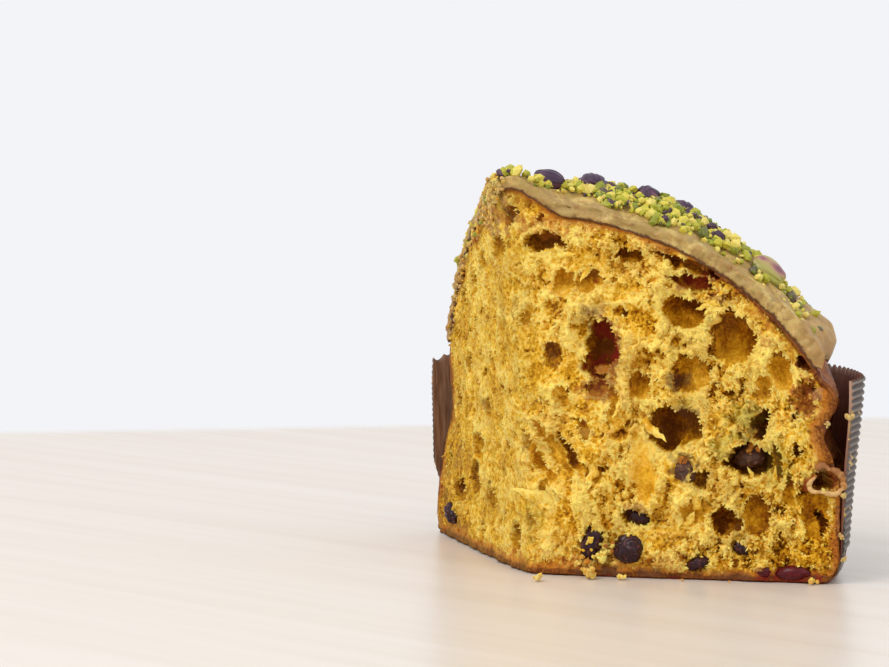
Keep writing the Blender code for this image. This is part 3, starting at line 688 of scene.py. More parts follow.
def bubble_reach(points, outward, size, low, high, seed):
    """How far inwards the far wall of a point's bubble lies.

    Space is cut into cubes, and each cube holds one bubble at a random place, of radius R. For a
    bubble at a distance q from the point, of which t lies along the way in, the far wall is at
    t + √(R² - q² + t²), where the root exists and the wall is ahead. The furthest of 27 is kept.
    """
    places = points / size
    cells = np.floor(places).astype(np.int64)
    furthest = np.zeros(points.shape[:-1])
    for step in np.ndindex(3, 3, 3):
        neighbour = cells + np.array(step) - 1
        chance = SCATTER[lattice_code(neighbour, seed)]
        away = neighbour + chance[..., :3] - places
        radius = low + (high - low) * chance[..., 3] ** 2
        distance_squared = (away**2).sum(axis=-1)
        along = -(away * outward).sum(axis=-1)
        room = radius**2 - distance_squared + along**2
        reach = along + np.sqrt(np.maximum(room, 0))
        holds = distance_squared < radius**2
        furthest = np.where(holds, np.maximum(furthest, reach), furthest)
    return furthest * size


def foam(points, outward, smooth, sizes):
    """Points moved inwards through bubbles of each size in turn, fewer on smooth walls."""
    moved = points
    for number, (size, low, high, loss) in enumerate(sizes):
        size = size * MM
        bend = stacked(*(noise(moved, size * 1.1, 40 + number * 3 + axis) for axis in range(3)))
        reach = bubble_reach(moved + bend * size * FOAM_BEND, outward, size, low, high, 70 + number)
        patch = smooth_step(noise(points, FOAM_PATCH, 55 + number), -0.3, 0.3)
        there = FOAM_LEAST + (1 - FOAM_LEAST) * patch
        moved = moved - outward * (reach * FOAM_DEPTH * there * (1 - loss * smooth))[..., None]
    return moved


def torn_plates(flat):
    """Layers of torn dough: at each size, noise turned into a cliff at its zero line.

    The noise is stretched upwards, as the dough rose, and its place is shifted raggedly, so each
    cliff has a serrated edge. A share of the plain noise is added, so the plates aren't level.
    """
    shifted = flat + stacked(ragged_shift(flat, 61), 0, ragged_shift(flat, 64))
    shifted = shifted * (1, 1, 0.75)
    total = np.zeros(flat.shape[:-1])
    for number, (size, tall) in enumerate(PLATES):
        level = noise(shifted, size * MM, 67 + number)
        total += tall * MM * (smooth_step(level, -0.1, 0.1) - 0.5 + 0.5 * level)
    return total


print("sizes of bubble:", [size for size, *_ in FOAM], "mm")

# %% [markdown]
# Colour follows shape. Torn ridges are painted pale, as if lit, and hollows deeper amber and
# darker, as painted shade, and the last millimetres behind the crust are baked brown. Fruit has
# bled into the dough beside it. So the mesh carries seven values, which say how much painted
# shade, and how calm, baked, red, brown, green and dusty each point is, and one finish mixes its
# colours from them.

# %% Stains and the crumb's finish
# Kind, along the face, height, half width and half height in mm, strength.
STAINS = (
    ("red", 55, 95.5, 7.5, 3.2, 0.75),
    ("red", 62.5, 90.5, 3.2, 2.2, 0.7),
    ("red", 24, 80.5, 4.6, 4.4, 0.9),
    ("red", 29.2, 74, 2.4, 9.5, 0.9),
    ("red", 23.6, 67.5, 6, 4.2, 0.75),
    ("red", 24, 61.5, 8, 5.4, 0.6),
    ("dusty", 24, 62, 6, 5, 0.12),
    ("red", 19.2, 53.8, 2.4, 1.6, 0.35),
    ("red", 19.2, 49.5, 1.6, 2.2, 0.7),
    ("red", 36, 21.5, 4, 3.2, 0.55),
    ("brown", 49, 63.4, 4.4, 3.6, 0.75),
    ("brown", 52.6, 53.6, 5.2, 2.2, 0.7),
    ("brown", 51.4, 36.6, 5, 4.6, 0.8),
    ("brown", 72.5, 40.5, 6, 4.6, 0.85),
    ("brown", 73, 47.5, 3.4, 3, 0.5),
    ("brown", 20, 86, 3.6, 3.6, 0.3),
    ("brown", 70, 15.5, 4.2, 2.6, 0.4),
    ("baked", 90.5, 59, 5.6, 6.4, 0.85),
    ("baked", 93, 69, 6.5, 4.5, 0.95),
    # The next brown spot, inside the rolled crust's loop, is painted shade in its hole.
    ("brown", 98.2, 35.2, 4.4, 4, 1),
    ("red", 92.6, 60.5, 3.4, 2.6, 0.3),
    ("baked", 78, 82, 3, 9, 0.45),
    ("baked", 31.5, 6, 7, 5.5, 0.5),
    ("baked", 15.5, 2.5, 14, 4, 0.6),
    ("baked", 46, 5, 12, 3.5, 0.45),
    ("baked", -7, 116, 7, 7, 0.55),
    ("baked", 8, 113.5, 14, 5.5, 0.5),
    ("baked", -13, 96, 6, 16, 0.3),
    ("green", -11, 84, 6, 18, 0.3),
    ("brown", -9, 108, 4.5, 6, 0.3),
    ("brown", 28.4, 2.2, 4.2, 2, 0.9),
    ("brown", 18.7, 2, 3.4, 1.5, 0.6),
    ("brown", 41, 2.2, 5, 1.5, 0.7),
    ("brown", 64, 2.2, 4, 1.4, 0.6),
    ("brown", 27, 6, 3.4, 2.6, 0.5),
    ("green", 71, 52, 5.6, 7, 0.6),
    ("green", 64, 43, 5, 6, 0.5),
    ("green", 81, 38, 5, 9, 0.4),
    ("green", 1.5, 18, 6, 8, 0.35),
    ("green", 53, 57, 4, 3, 0.3),
    ("dusty", -12, 120.5, 5, 5, 0.7),
    ("dusty", -15, 114, 10, 4, 0.6),
    ("dusty", 23, 86, 4, 2.4, 0.45),
    ("dusty", 93.5, 60.5, 2.6, 2.6, 0.5),
    ("dusty", 19.5, 46.5, 3, 1.6, 0.3),
    ("red", -11, 86.3, 0.9, 1.6, 0.8),
    ("red", 22.2, 95.4, 0.9, 1, 0.7),
    ("red", 87, 2.2, 9, 2.6, 0.75),
    ("red", 77.6, 2.6, 4, 2.6, 0.7),
    ("brown", 70, 2, 5, 1.4, 0.6),
    ("baked", 66, 92, 8, 3.5, 0.45),
)
STAIN_KINDS = ("red", "brown", "green", "baked", "dusty")
# Kind, how strongly it covers the crumb, and its colour, in the order that they are laid on.
STAIN_TINTS = (
    ("green", 0.8, (0.32, 0.28, 0.035)),
    ("brown", 0.9, (0.15, 0.060, 0.028)),
    ("dusty", 0.9, (0.58, 0.40, 0.19)),
    ("red", 0.92, (0.24, 0.014, 0.010)),
)
# Painted light and shade: from a lit pale ridge to the shaded bottom of a hollow.
CRUMB_LIT_TO_SHADED = (
    (0, (0.99, 0.75, 0.18)),
    (0.3, (0.84, 0.48, 0.034)),
    (0.6, (0.55, 0.26, 0.005)),
    (0.8, (0.33, 0.115, 0.002)),
    (1, (0.13, 0.033, 0.001)),
)
# Where torn crumb stands in raised tufts, painted brighter as if lit (above 0), or lies dull and
# even, painted darker (below 0).
FLUFF = (
    (-2, 88.5, 5, 3, 1),
    (8.5, 57.5, 4.5, 5, 0.8),
    (7, 47, 4, 4.5, 0.8),
    (19.5, 22, 8, 3.4, 1),
    (6.5, 9.5, 6.5, 4, 0.9),
    (28.5, 19.5, 5, 3.6, 0.9),
    (33, 76, 2.8, 8, 0.7),
    (40, 87.5, 4.5, 3, 0.6),
    (56, 76.5, 4.5, 2.5, 0.9),
    (70.5, 64.5, 5, 3.5, 0.7),
    (51.5, 24.5, 5, 5, 0.8),
    (63, 25, 5, 3, 0.7),
    (86.5, 14, 4, 4, 0.6),
    (17, 54, 5, 6, -0.8),
    (20.5, 39.5, 7, 5.5, -0.9),
    (33.5, 84, 5, 4, -0.7),
    (13, 36, 5, 5, -0.6),
    (1, 78, 6, 8, -0.8),
    (42, 27.5, 4, 3, -0.5),
)


def far_from(spot, along, height):
    """Squared distance from a spot's middle, in its half widths and half heights."""
    middle, level, wide, tall = (number * MM for number in spot)
    return ((along - middle) / wide) ** 2 + ((height - level) / tall) ** 2


def fluff_share(across, height):
    """Rows of bells added up: how tufted or how dull the crumb is at a place."""
    total = np.zeros_like(across)
    for *spot, strength in FLUFF:
        total += strength * np.exp(-far_from(spot, across, height))
    return np.clip(total, -1, 1)


def stain_values(along, height):
    """Each kind of stain: the greatest of its bells, with a ragged edge from noise."""
    flat = stacked(along, 0, height)
    ragged = 1.1 * (1 + 0.9 * fractal(flat, 3 * MM, 51, 3, 0.6))
    found = {kind: np.zeros_like(along) for kind in STAIN_KINDS}
    for kind, *spot, strength in STAINS:
        share = smooth_step(ragged - far_from(spot, along, height), 0, 0.9)
        found[kind] = np.maximum(found[kind], strength * share)
    return found


def crumb_finish():
    """Yellow crumb: ridges painted pale as lit, hollows and pores amber as painted shade, brown by
    the crust, fruit stains.
    """
    material, shader, wire = new_finish(
        "crumb", 0.8, Subsurface_Weight=0.35, Subsurface_Scale=0.0013, Specular_IOR_Level=0.1
    )
    shader.inputs["Subsurface Radius"].default_value = (1, 0.55, 0.12)
    speckle = wire.grain(0.9 * MM, 3, 0.6)
    broad = wire.grain(11 * MM, 3, 0.6)
    pores = wire.cells(1.7 * MM) * 0.6 + wire.cells(0.8 * MM) * 0.4
    rough = 1 - wire.value_of("calm") * 0.75
    # Painted light and shade: the shade value, darker in pores and paler on ridges, picks the
    # colour.
    hollow = wire.value_of("hollow") + (0.46 - pores) * rough + (speckle - 0.5) * 0.75
    hollow = hollow + (broad.step(0.36, 0.64) - 0.5) * 0.3
    colour = hollow.held().ramp(CRUMB_LIT_TO_SHADED)
    dry = wire.grain(15 * MM, 4, 0.65).step(0.46, 0.62)
    colour = (dry * 0.25 * rough).mix(colour, (0.58, 0.33, 0.07))
    rusty = wire.grain(4 * MM, 4, 0.65).step(0.54, 0.72)
    colour = (rusty * 0.4 * rough).mix(colour, (0.62, 0.24, 0.025))
    baked = (wire.value_of("baked") + (speckle - 0.5) * 0.6 + (rusty - 0.3) * 0.35).held()
    colour = (baked.step(0.1, 0.6) * 0.85).mix(colour, (0.50, 0.16, 0.022))
    colour = baked.step(0.6, 0.95).mix(colour, (0.16, 0.045, 0.010))
    for kind, strength, tint in STAIN_TINTS:
        colour = (wire.value_of(kind) * strength).mix(colour, tint)
    height = pores * 0.6 + wire.grain(0.6 * MM, 4, 0.7) * 0.6
    plug(shader, Base_Color=colour, Normal=bumped(height, 0.8, 0.35 * MM))
    return material


CRUMB = crumb_finish()
print("stains:", len(STAINS))

# %% [markdown]
# One sheet of relief covers each cut face, and both run over the tip, where they share their
# edge. Its rows follow the floor at the bottom and the dome at the top, its columns end at the
# crust. A skirt and a flat back, hidden in the loaf, close it into a solid.

# %% The torn crumb
FRONT_ROWS, FRONT_COLUMNS = 328, 288
SIDE_ROWS, SIDE_COLUMNS = 250, 230
TIP_COLUMN = -1.5 * MM
CRAG_SIZE, CRAG_HEIGHT = 13 * MM, 1.6 * MM
CLEAN_CUT = 0.5
SIDE_WIDENED = 0.5
TORN_FROM = (2 * MM, 15 * MM)
TORN_LOWER, TORN_LOWER_Z = 12 * MM, (35 * MM, 60 * MM)
DULL_SHARE = 0.2
DULL_TO = (0 * MM, 14 * MM)
SKIN_MARGIN, SKIN_LEAST = 4 * MM, 0.15
GROOVE_AT, GROOVE_SPAN, GROOVE_DEPTH = 1.2 * MM, 1.5 * MM, 3.4 * MM
GROOVE_ALONG = (48 * MM, 64 * MM)
FOOT_REACH, FOOT_BURST, FOOT_DROP = 2.2 * MM, 0.9 * MM, 0.75 * MM
TUFT_RISE, TUFT_CAVE = 1.2 * MM, 4 * MM
CRUSTY_REACH, CRUSTY_FROM = 8.5 * MM, (33 * MM, 40 * MM)
ZONE_SIZE = 19 * MM
BACK_DEPTH = 16 * MM
BACK_SHRINK = 0.8
# Places in less light: how much darker, where along the face that starts and is full, and over
# what distance it fades. The first fades below the dome, the others above the floor.
SHADES = (
    (0.35, (30 * MM, 60 * MM), (2 * MM, 9 * MM)),
    (0.28, (55 * MM, 75 * MM), (25 * MM, 45 * MM)),
    (0.07, (42 * MM, 60 * MM), (70 * MM, 90 * MM)),
)
# Torn folds: along and height of both ends, width and height of the fold, in mm.
FOLDS = (
    (-2, 48.7, 12.8, 28.8, 1.6, 1.8),
    (2, 50, 16, 31.5, 1.3, 1.4),
    (5, 29.5, 16.5, 25, 1.4, 3.2),
    (14, 27, 24, 21.5, 2.6, 3),
    (31.5, 30, 33.5, 52, 1.5, 1.6),
    (44.5, 36, 43, 27, 1.6, 2.6),
    (44, 28, 55, 24, 1.8, 2.2),
    (66, 31, 80, 34, 1.6, 1.8),
    (58, 88.5, 72, 84, 1.5, 1.5),
    (42, 95, 48, 76, 1.8, 1.2),
    (73.2, 76.1, 87.7, 52.5, 1.5, 2),
    (58.9, 74.9, 71.4, 64.6, 1.5, 2),
    (32, 66, 34.1, 48.4, 1.2, 1.8),
    (34.1, 44, 33.2, 24.2, 1.1, 1.6),
)
BLUR_REACH = 9


def blurred(field, reach):
    """A running mean over a window of cells, first down the columns and then along the rows."""
    for axis in (0, 1):
        pad = [(0, 0), (0, 0)]
        pad[axis] = (reach + 1, reach)
        summed = np.cumsum(np.pad(field, pad, mode="edge"), axis=axis)
        upper = np.take(summed, range(2 * reach + 1, summed.shape[axis]), axis=axis)
        lower = np.take(summed, range(0, summed.shape[axis] - 2 * reach - 1), axis=axis)
        field = (upper - lower) / (2 * reach + 1)
    return field


def fold_height(along, height):
    """Torn folds: beside a line, a bell across it that fades towards both of its ends."""
    total = np.zeros_like(along)
    for from_along, from_height, to_along, to_height, wide, high in FOLDS:
        run, rise = (to_along - from_along) * MM, (to_height - from_height) * MM
        length = math.hypot(run, rise)
        right, up = along - from_along * MM, height - from_height * MM
        share = (right * run + up * rise) / length**2
        across = (up * run - right * rise) / length
        fold = high * MM * bell(across, 0, wide * MM) * bell(share, 0.5, 0.5) ** 2
        total = np.maximum(total, fold)
    return total


def untorn_face(last_side, rows, columns):
    """What is known of a face before it tears: where each point is, and how far from what.

    Rows share the height and columns the width. The top is found in a few corrections, because
    the face leans.
    """
    right = last_side > 0
    cut_deg = RIGHT_CUT_DEG if right else LEFT_CUT_DEG
    down = np.linspace(0, 1, rows)[:, None]
    across = np.linspace(0, 1, columns)[None, :]
    edge = last_side * crust_radius(cut_deg, CRUMB_FLOOR + (SHOULDER_Z - CRUMB_FLOOR) * down)
    top_along = TIP_COLUMN + (last_side * DOME_RADIUS - TIP_COLUMN) * across
    top = np.full_like(top_along, dome_height(0))
    for _ in range(3):
        top = bread_top(cut_place(top_along, top))
    along = TIP_COLUMN + (edge - TIP_COLUMN) * across
    height = CRUMB_FLOOR + (top - CRUMB_FLOOR) * down
    to_crust = crust_radius(cut_deg, np.minimum(height, SHOULDER_Z)) - np.abs(along)
    return SimpleNamespace(
        right=right, along=along, height=height, flat=stacked(along, 0, height),
        outward=cut_outward(along), from_axis=along * last_side,
        across=seen_across(along, height) if right else along,
        to_top=top - height, to_crust=to_crust,
        skin=np.minimum(np.minimum(top - height, to_crust), height - CRUMB_FLOOR),
        foot=1 - smooth_step(height - CRUMB_FLOOR, 0, FOOT_REACH),
    )


def tear(face, caves):
    """Points of the torn face: crags, layers and folds stand out of it, caves and foam go in.

    The right face tore in rough and calm zones. The left face and the tip were cut more cleanly,
    so they are low and fine-pored. Near the skin the relief fades, and the foot bursts outwards.
    """
    flat, height, right = face.flat, face.height, face.right
    caves_in, smooth = cave_depth(face.across, height, caves)
    beside = 1 - smooth_step(face.to_crust, 1 * MM, CRUSTY_REACH)
    face.beside = beside * smooth_step(height, *CRUSTY_FROM)
    face.smooth = np.maximum(smooth, 0.7 * face.beside)
    lower = TORN_LOWER * (1 - smooth_step(height, *TORN_LOWER_Z))
    face.from_tip = face.along + lower if right else 0 * face.along
    torn_share = CLEAN_CUT + (1 - CLEAN_CUT) * smooth_step(face.from_tip, *TORN_FROM)
    tufts, folds, face.fluff = 0, 0, 0
    if right:
        tufts, folds = tuft_height(face.across, height), fold_height(face.across, height)
        face.fluff = fluff_share(face.across, height)
    widened = flat * (1 if right else SIDE_WIDENED, 1, 1)
    rough = fractal(widened, CRAG_SIZE, 11, 2) * CRAG_HEIGHT * torn_share + folds
    groove = bell(face.to_top, GROOVE_AT, GROOVE_SPAN)
    face.under_icing = smooth_step(face.from_axis, *GROOVE_ALONG) * groove
    rough = rough - GROOVE_DEPTH * face.under_icing * (0.8 + noise(flat, 6 * MM, 25))
    zone = smooth_step(noise(flat, ZONE_SIZE, 27), -0.35, 0.3) * torn_share + 0.6 * face.fluff
    face.zone = np.clip(zone, 0, 1.3)
    layers = torn_plates(widened) * (0.35 + face.zone) * torn_share
    rough = rough + layers * (1 - 0.9 * face.smooth)
    rough = rough + np.maximum(face.fluff, 0) * (1 - face.smooth) * TUFT_RISE
    rough = rough + tufts * np.minimum(caves_in / TUFT_CAVE, 1)
    burst = face.foot * (0.6 + fractal(flat, 5 * MM, 28, 3, 0.7)) * FOOT_BURST
    calm = np.clip(face.skin / SKIN_MARGIN, SKIN_LEAST, 1)
    base = cut_place(face.along, height, (rough - caves_in) * calm + burst)
    base = base - UP * (face.foot * FOOT_DROP)[..., None]
    whole = np.maximum(face.smooth, 1 - smooth_step(face.skin, 0, 3 * MM))
    return foam(base, face.outward, whole, FOAM if right else FINE_FOAM)


def hollow_values(face, depth, near, dark):
    """How much painted shade each point gets: its depth less that of its neighbours, at three
    distances.

    Smooth walls have less of it, and the caves' painted dark parts, calm zones and places in less
    light more.
    """
    local = blurred(depth, 1)
    hollow = 0.28 + (local - near) / (5 * MM) + (depth - local) / (2 * MM) + near / (30 * MM)
    hollow = hollow * (1 - 0.4 * face.smooth) + dark * 0.6
    hollow = hollow + 0.17 * (1 - face.zone) - 0.05 - 0.18 * face.fluff
    for (darker, along, fade), away in zip(SHADES, (face.to_top, face.height, face.height)):
        reached = smooth_step(face.from_axis, *along) * (1 - smooth_step(away, *fade))
        hollow = hollow + darker * reached
    return held(hollow)


def baked_values(face, spots):
    """How baked each point is: 1 at the skin and 0 a few ragged millimetres behind it.

    A weaker browning reaches 9 mm in. The groove below the icing, the foot, the crumb beside the
    rolled-up crust and the named spots are baked too.
    """
    reach = 3.8 if face.right else 5.8
    reach = (reach + 2.6 * fractal(face.flat, 7 * MM, 29, 3, 0.6)) * MM
    baked = 1 - face.skin / np.maximum(reach, 1.4 * MM)
    baked = np.maximum(baked, 0.45 * (1 - face.skin / (9 * MM)))
    far_out = 0.1 * smooth_step(face.from_axis, 60 * MM, 90 * MM)
    baked = np.maximum(baked, 0.8 * face.under_icing + far_out)
    baked = np.maximum(np.maximum(baked + 0.4 * face.foot, 0.95 * face.beside), spots)
    return held(baked)


def crumb_values(face, depth, near, caves):
    """All that the finish reads. Near the tip the clean cut is duller, greener and browner."""
    stains = stain_values(face.across, face.height)
    dull = DULL_SHARE * (1 - smooth_step(face.from_tip, *DULL_TO))
    greener = dull * (0.8 + 0.8 * noise(face.flat, 7 * MM, 23))
    browner = 0.8 * dull * (0.8 + 1.2 * noise(face.flat, 5 * MM, 24))
    stains["green"] = np.maximum(stains["green"], greener)
    stains["brown"] = np.maximum(stains["brown"], browner)
    dark = dark_side(face.across, face.height, caves)
    return {
        "hollow": hollow_values(face, depth, near, dark),
        "baked": baked_values(face, stains.pop("baked")),
        "calm": face.smooth, **stains,
    }


def crumb_sheet(name, last_side, rows, columns, caves):
    """One torn face as a closed piece. It returns the face with what the shards need."""
    face = untorn_face(last_side, rows, columns)
    face.torn = tear(face, caves)
    depth = -((face.torn - cut_place(face.along, face.height)) * face.outward).sum(axis=-1)
    near = blurred(blurred(depth, BLUR_REACH), BLUR_REACH)
    face.values = crumb_values(face, depth, near, caves)
    closed_sheet(name, face.torn, face.values, RIGHT_OUT if face.right else LEFT_OUT)
    sharper = blurred(depth, 2)
    face.slope_along = np.gradient(sharper, axis=1) / np.gradient(face.along, axis=1)
    face.slope_up = np.gradient(sharper, axis=0) / np.gradient(face.height, axis=0)
    face.above = depth - near
    return face


def closed_sheet(name, grid, values, outward):
    """The sheet with a skirt from its rim to a smaller rim on a flat plane behind, and a back."""
    rim = rim_of(numbered(grid))
    points = grid.reshape(-1, 3)
    middle = points[rim].mean(axis=0)
    back = middle + (points[rim] - middle) * BACK_SHRINK
    back = back - outward * (back @ outward + BACK_DEPTH)[:, None]
    fresh = len(points) + np.arange(len(rim))
    faces = np.concatenate((grid_quads(numbered(grid)), band(rim, fresh))).tolist()
    padding = np.zeros(len(rim))
    values = {key: np.concatenate((field.ravel(), padding)) for key, field in values.items()}
    points = np.concatenate((points, back))
    piece = make_piece(name, points, faces + [fresh.tolist()], CRUMB, values, weld=False)
    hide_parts("bread")


front = crumb_sheet("crumb_front", 1, FRONT_ROWS, FRONT_COLUMNS, CAVES)

# %% [markdown]
# The left face is seen at a steep angle, so only a few of its hollows can be made out, and those
# are named. The rest are thrown at random: a few large, most small, and none over another. It is
# the same sheet otherwise, with finer foam.

# %% The side face
SIDE_CAVES = 74
# Least half width of a cave in mm, how much more it may be, and the power that makes that rare.
SIDE_CAVE_SIZES = (1.3, 5.2, 2.5)
# The caves that show, as above.
SEEN_SIDE_CAVES = (
    (-10.5, 104.5, 7.5, 6, 3.4, 0, 0.9, 0.35),
    (-33, 94.5, 6.5, 6.5, 3, 0, 0.85, 0.4),
    (-40, 100.5, 7.5, 5, 3.4, 0, 0.9, 0.35),
    (-57, 91.5, 6, 6, 3.4, 0, 0.9, 0.5),
    (-50.6, 35.2, 7.5, 6.5, 3.4, 0, 0.9, 0.3),
    (-75.8, 17.8, 7.5, 5, 3.4, 0, 0.9, 0.35),
    (-36, 20, 6, 5.5, 3, 0, 0.8, 0.4),
    (-66, 62, 5, 5, 3, 0, 0.8, 0.4),
    (-31, 66, 4, 6, 2.6, 0, 0.8, 0.3),
    (-57, 24, 6, 7, 3.2, 0, 0.9, 0.45),
)


def side_caves():
    """Caves for the left face: the ones that show, then seeded throws, a few large, most small."""
    draw = np.random.default_rng(11)
    least, more, rarer = SIDE_CAVE_SIZES
    found = list(SEEN_SIDE_CAVES)
    while len(found) < SIDE_CAVES:
        along, height = -draw.uniform(7, 95), draw.uniform(6, 112)
        wide = least + more * draw.random() ** rarer
        tall = wide * draw.uniform(0.7, 2.2)
        if height * MM > dome_height(-along * MM) - PRESS_LEFT - 7 * MM - tall * MM:
            continue
        if any(math.hypot(along - a, height - h) < 1.3 * (wide + w) + 1 for a, h, w, *_ in found):
            continue
        calm, dark = draw.uniform(0.5, 0.95), draw.uniform(0.1, 0.7)
        depth, tilt = wide * draw.uniform(0.7, 1.2), draw.uniform(-40, 40)
        found.append((along, height, wide, tall, depth, tilt, calm, dark))
    return found


side = crumb_sheet("crumb_side", -1, SIDE_ROWS, SIDE_COLUMNS, side_caves())

# %% [markdown]
# Where dough tears, its thin walls end in small pale blades that lean over the hollows. They are
# too fine for the sheets, and they give every rim its serrated edge. Each blade is a stretched
# octahedron with its root in the crumb. Most stand where the depth of the sheet changes fast.

# %% Shards along the torn edges
FRONT_SHARDS, SIDE_SHARDS = 6000, 1500
SHARD_LENGTH_MM, SHARD_WIDTH_MM, SHARD_THICK_MM = (0.4, 1.15), (0.3, 0.7), (0.16, 0.34)
SHARD_ROOT = 0.6
OCTAHEDRON = np.array(((1, 0, 0), (-1, 0, 0), (0, 1, 0), (0, -1, 0), (0, 0, 1), (0, 0, -1)), float)
OCTAHEDRON_FACES = np.array(
    ((0, 2, 4), (2, 1, 4), (1, 3, 4), (3, 0, 4), (2, 0, 5), (1, 2, 5), (3, 1, 5), (0, 3, 5))
)


def between(draw, limits, count):
    """Random sizes between two limits in mm, the small ones more often."""
    low, high = limits
    return (low + (high - low) * draw.random(count) ** 1.7) * MM


def shards(face, to_side, count, seed):
    """Blades on a face: where they stand is chosen by slope, and they lean the way it falls."""
    draw = np.random.default_rng(seed)
    steep = np.hypot(face.slope_along, face.slope_up)
    chance = smooth_step(steep, 0.15, 1.4) * smooth_step(-face.above, -1.6 * MM, 0.8 * MM) + 0.05
    room = np.where(face.smooth > 0.25, 0, face.skin)
    chance = (chance * smooth_step(room, 1 * MM, 3 * MM)).ravel()
    picked = draw.choice(chance.size, count, p=chance / chance.sum())

    def at(field):
        """A field's values at the picked points."""
        return field.reshape(-1, *field.shape[2:])[picked]

    falls = to_side[None] * at(face.slope_along)[:, None] + UP * at(face.slope_up)[:, None]
    falls = falls / (at(steep)[:, None] + 0.05)
    reach = falls * 0.8 + at(face.outward) * 0.45 + draw.normal(size=(count, 3)) * 0.38
    reach = unit(reach)
    across = unit(np.cross(reach, draw.normal(size=(count, 3)) + at(face.outward)))
    thin = np.cross(reach, across)
    sizes = (SHARD_LENGTH_MM, SHARD_WIDTH_MM, SHARD_THICK_MM)
    long, wide, thick = (between(draw, limits, count) for limits in sizes)
    scaled = stacked(long, wide, thick)[:, :, None] * np.stack((reach, across, thin), axis=1)
    shape = np.einsum("ij,njk->nik", OCTAHEDRON, scaled)
    out = reach * (long * (1 - SHARD_ROOT))[:, None]
    points = at(face.torn)[:, None, :] + shape + out[:, None, :]
    faces = OCTAHEDRON_FACES[None] + (np.arange(count) * 6)[:, None, None]
    values = {key: np.repeat(at(field), 6) for key, field in face.values.items()}
    # The blades take half the crumb's painted shade, less a little, so they show pale, as if lit.
    pale = np.clip(at(face.values["hollow"]) * 0.5 - 0.05, 0, 0.5)
    values["hollow"] = np.repeat(pale, 6)
    return points.reshape(-1, 3), faces.reshape(-1, 3), values


def build_shards():
    """The blades of both faces, in one piece."""
    parts = (shards(front, RIGHT, FRONT_SHARDS, 5), shards(side, -LEFT, SIDE_SHARDS, 6))
    points, faces = joined([(points, faces) for points, faces, _ in parts])
    values = {key: np.concatenate([part[2][key] for part in parts]) for key in parts[0][2]}
    piece = make_piece(
        "crumb_shards", points, faces, CRUMB, values, smooth=False, weld=False
    )
    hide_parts("bread")


build_shards()

# %% [markdown]
# The crust is a thin baked skin over the shoulder, the side and the foot. It shows between the
# icing and the paper, and as a dark line where the knife went through it. It is one profile,
# carried round from one cut to the other, with an inner side a little over a millimetre behind.

# %% Crust
CRUST_THICKNESS = 1.3 * MM
CRUST_COLUMNS = 300
CRUST_STEPS = (40, 90, 14)
CRUST_FROM_RADIUS = 62 * MM
CRUST_FLOOR_RADIUS = 84 * MM
CRUST_SWELL, CRUST_SWELL_SIZE = 0.6 * MM, 6 * MM
WEDGE_HOLD_DEG, WEDGE_HOLD_RADIUS = 25, 30 * MM
# A pocket where the side crust rolled up: its depth, height, fade up and down, and width.
POCKET, POCKET_Z = 11 * MM, 32.7 * MM
POCKET_FADE, POCKET_DEG = (4 * MM, 8 * MM), 10


def round_share(columns):
    """Shares of the way round from the right cut to the left cut."""
    return np.linspace(0, 1, columns)[None, :]


def wedge_place(share, radius, height, out=0, rounding=TIP_ROUNDING):
    """A place seen from above: polar round the axis, shifted to follow the real cut near each face.

    The shift is the cut's own point at that radius less the straight ray's point. It is mixed
    from the right to the left cut by the share, and fades 25 degrees behind a face.
    """
    share, radius, height = np.broadcast_arrays(share, radius, height)
    turn = np.radians(RIGHT_CUT_DEG + WEDGE_DEG * share)
    ray = stacked(np.cos(turn), np.sin(turn), 0) * radius[..., None]
    upright = UP * height[..., None]
    right = cut_place(radius, height, out, rounding) - RIGHT * radius[..., None] - upright
    left = cut_place(-radius, height, out, rounding) - LEFT * radius[..., None] - upright
    inside_deg = np.minimum(share, 1 - share) * WEDGE_DEG
    behind = smooth_step(inside_deg, 0, WEDGE_HOLD_DEG)
    hold = 1 - behind * smooth_step(radius, 0, WEDGE_HOLD_RADIUS)
    return ray + (right * (1 - share[..., None]) + left * share[..., None]) * hold[..., None]


def crust_profile(share, back):
    """Dome from a radius to the shoulder, side, foot and floor, all set back by a thickness."""
    direction = RIGHT_CUT_DEG + WEDGE_DEG * share
    dome, side, floor = CRUST_STEPS
    turn = np.linspace(math.asin(CRUST_FROM_RADIUS / DOME_RADIUS), math.pi / 2, dome)[:, None]
    radius = DOME_RADIUS * np.sin(turn) + 0 * share
    over = wedge_place(share, radius, bread_top(stacked(radius, 0, 0)))
    steepness = DOME_RADIUS**2 / np.maximum(radius, MM)
    slope = unit(stacked(over[..., 0], over[..., 1], steepness))
    top = over * (1, 1, 0) + UP * bread_top(over)[..., None] - slope * back
    level = np.linspace(1, 0, side)[1:, None] ** 1.3
    height = level * (SHOULDER_Z - CRUMB_FLOOR) + CRUMB_FLOOR + 0 * share
    side_radius = crust_radius(direction, height) - back
    raised = np.maximum(height, CRUMB_FLOOR + back)[..., None]
    wall = wedge_place(share, side_radius, height) + UP * raised
    inwards = np.linspace(0, 1, floor)[1:, None]
    foot_radius = crust_radius(direction, CRUMB_FLOOR + 0 * inwards)
    flat_radius = foot_radius + (CRUST_FLOOR_RADIUS - foot_radius) * inwards + 0 * share
    flat = wedge_place(share, flat_radius, 0 * flat_radius) + UP * (CRUMB_FLOOR + back)
    return np.concatenate((top, wall, flat))


def crust_finish(name, dark, light, worn):
    """Baked crust: chestnut with darker and golden blotches, fine wrinkles and a slight shine."""
    material, shader, wire = new_finish(name, 0.5, Specular_IOR_Level=0.3)
    blotch = wire.grain(8 * MM, 4, 0.65)
    colour = blotch.step(0.4, 0.6).mix(dark, light)
    colour = (wire.grain(2 * MM, 4, 0.7).step(0.5, 0.66) * 0.6).mix(colour, worn)
    colour = wire.value_of("rim").mix(colour, (0.80, 0.50, 0.19))
    wrinkles = bumped(wire.grain(1.4 * MM, 5, 0.7), 0.9, 0.6 * MM)
    plug(shader, Base_Color=colour, Roughness=blotch * 0.3 + 0.35, Normal=wrinkles)
    return material


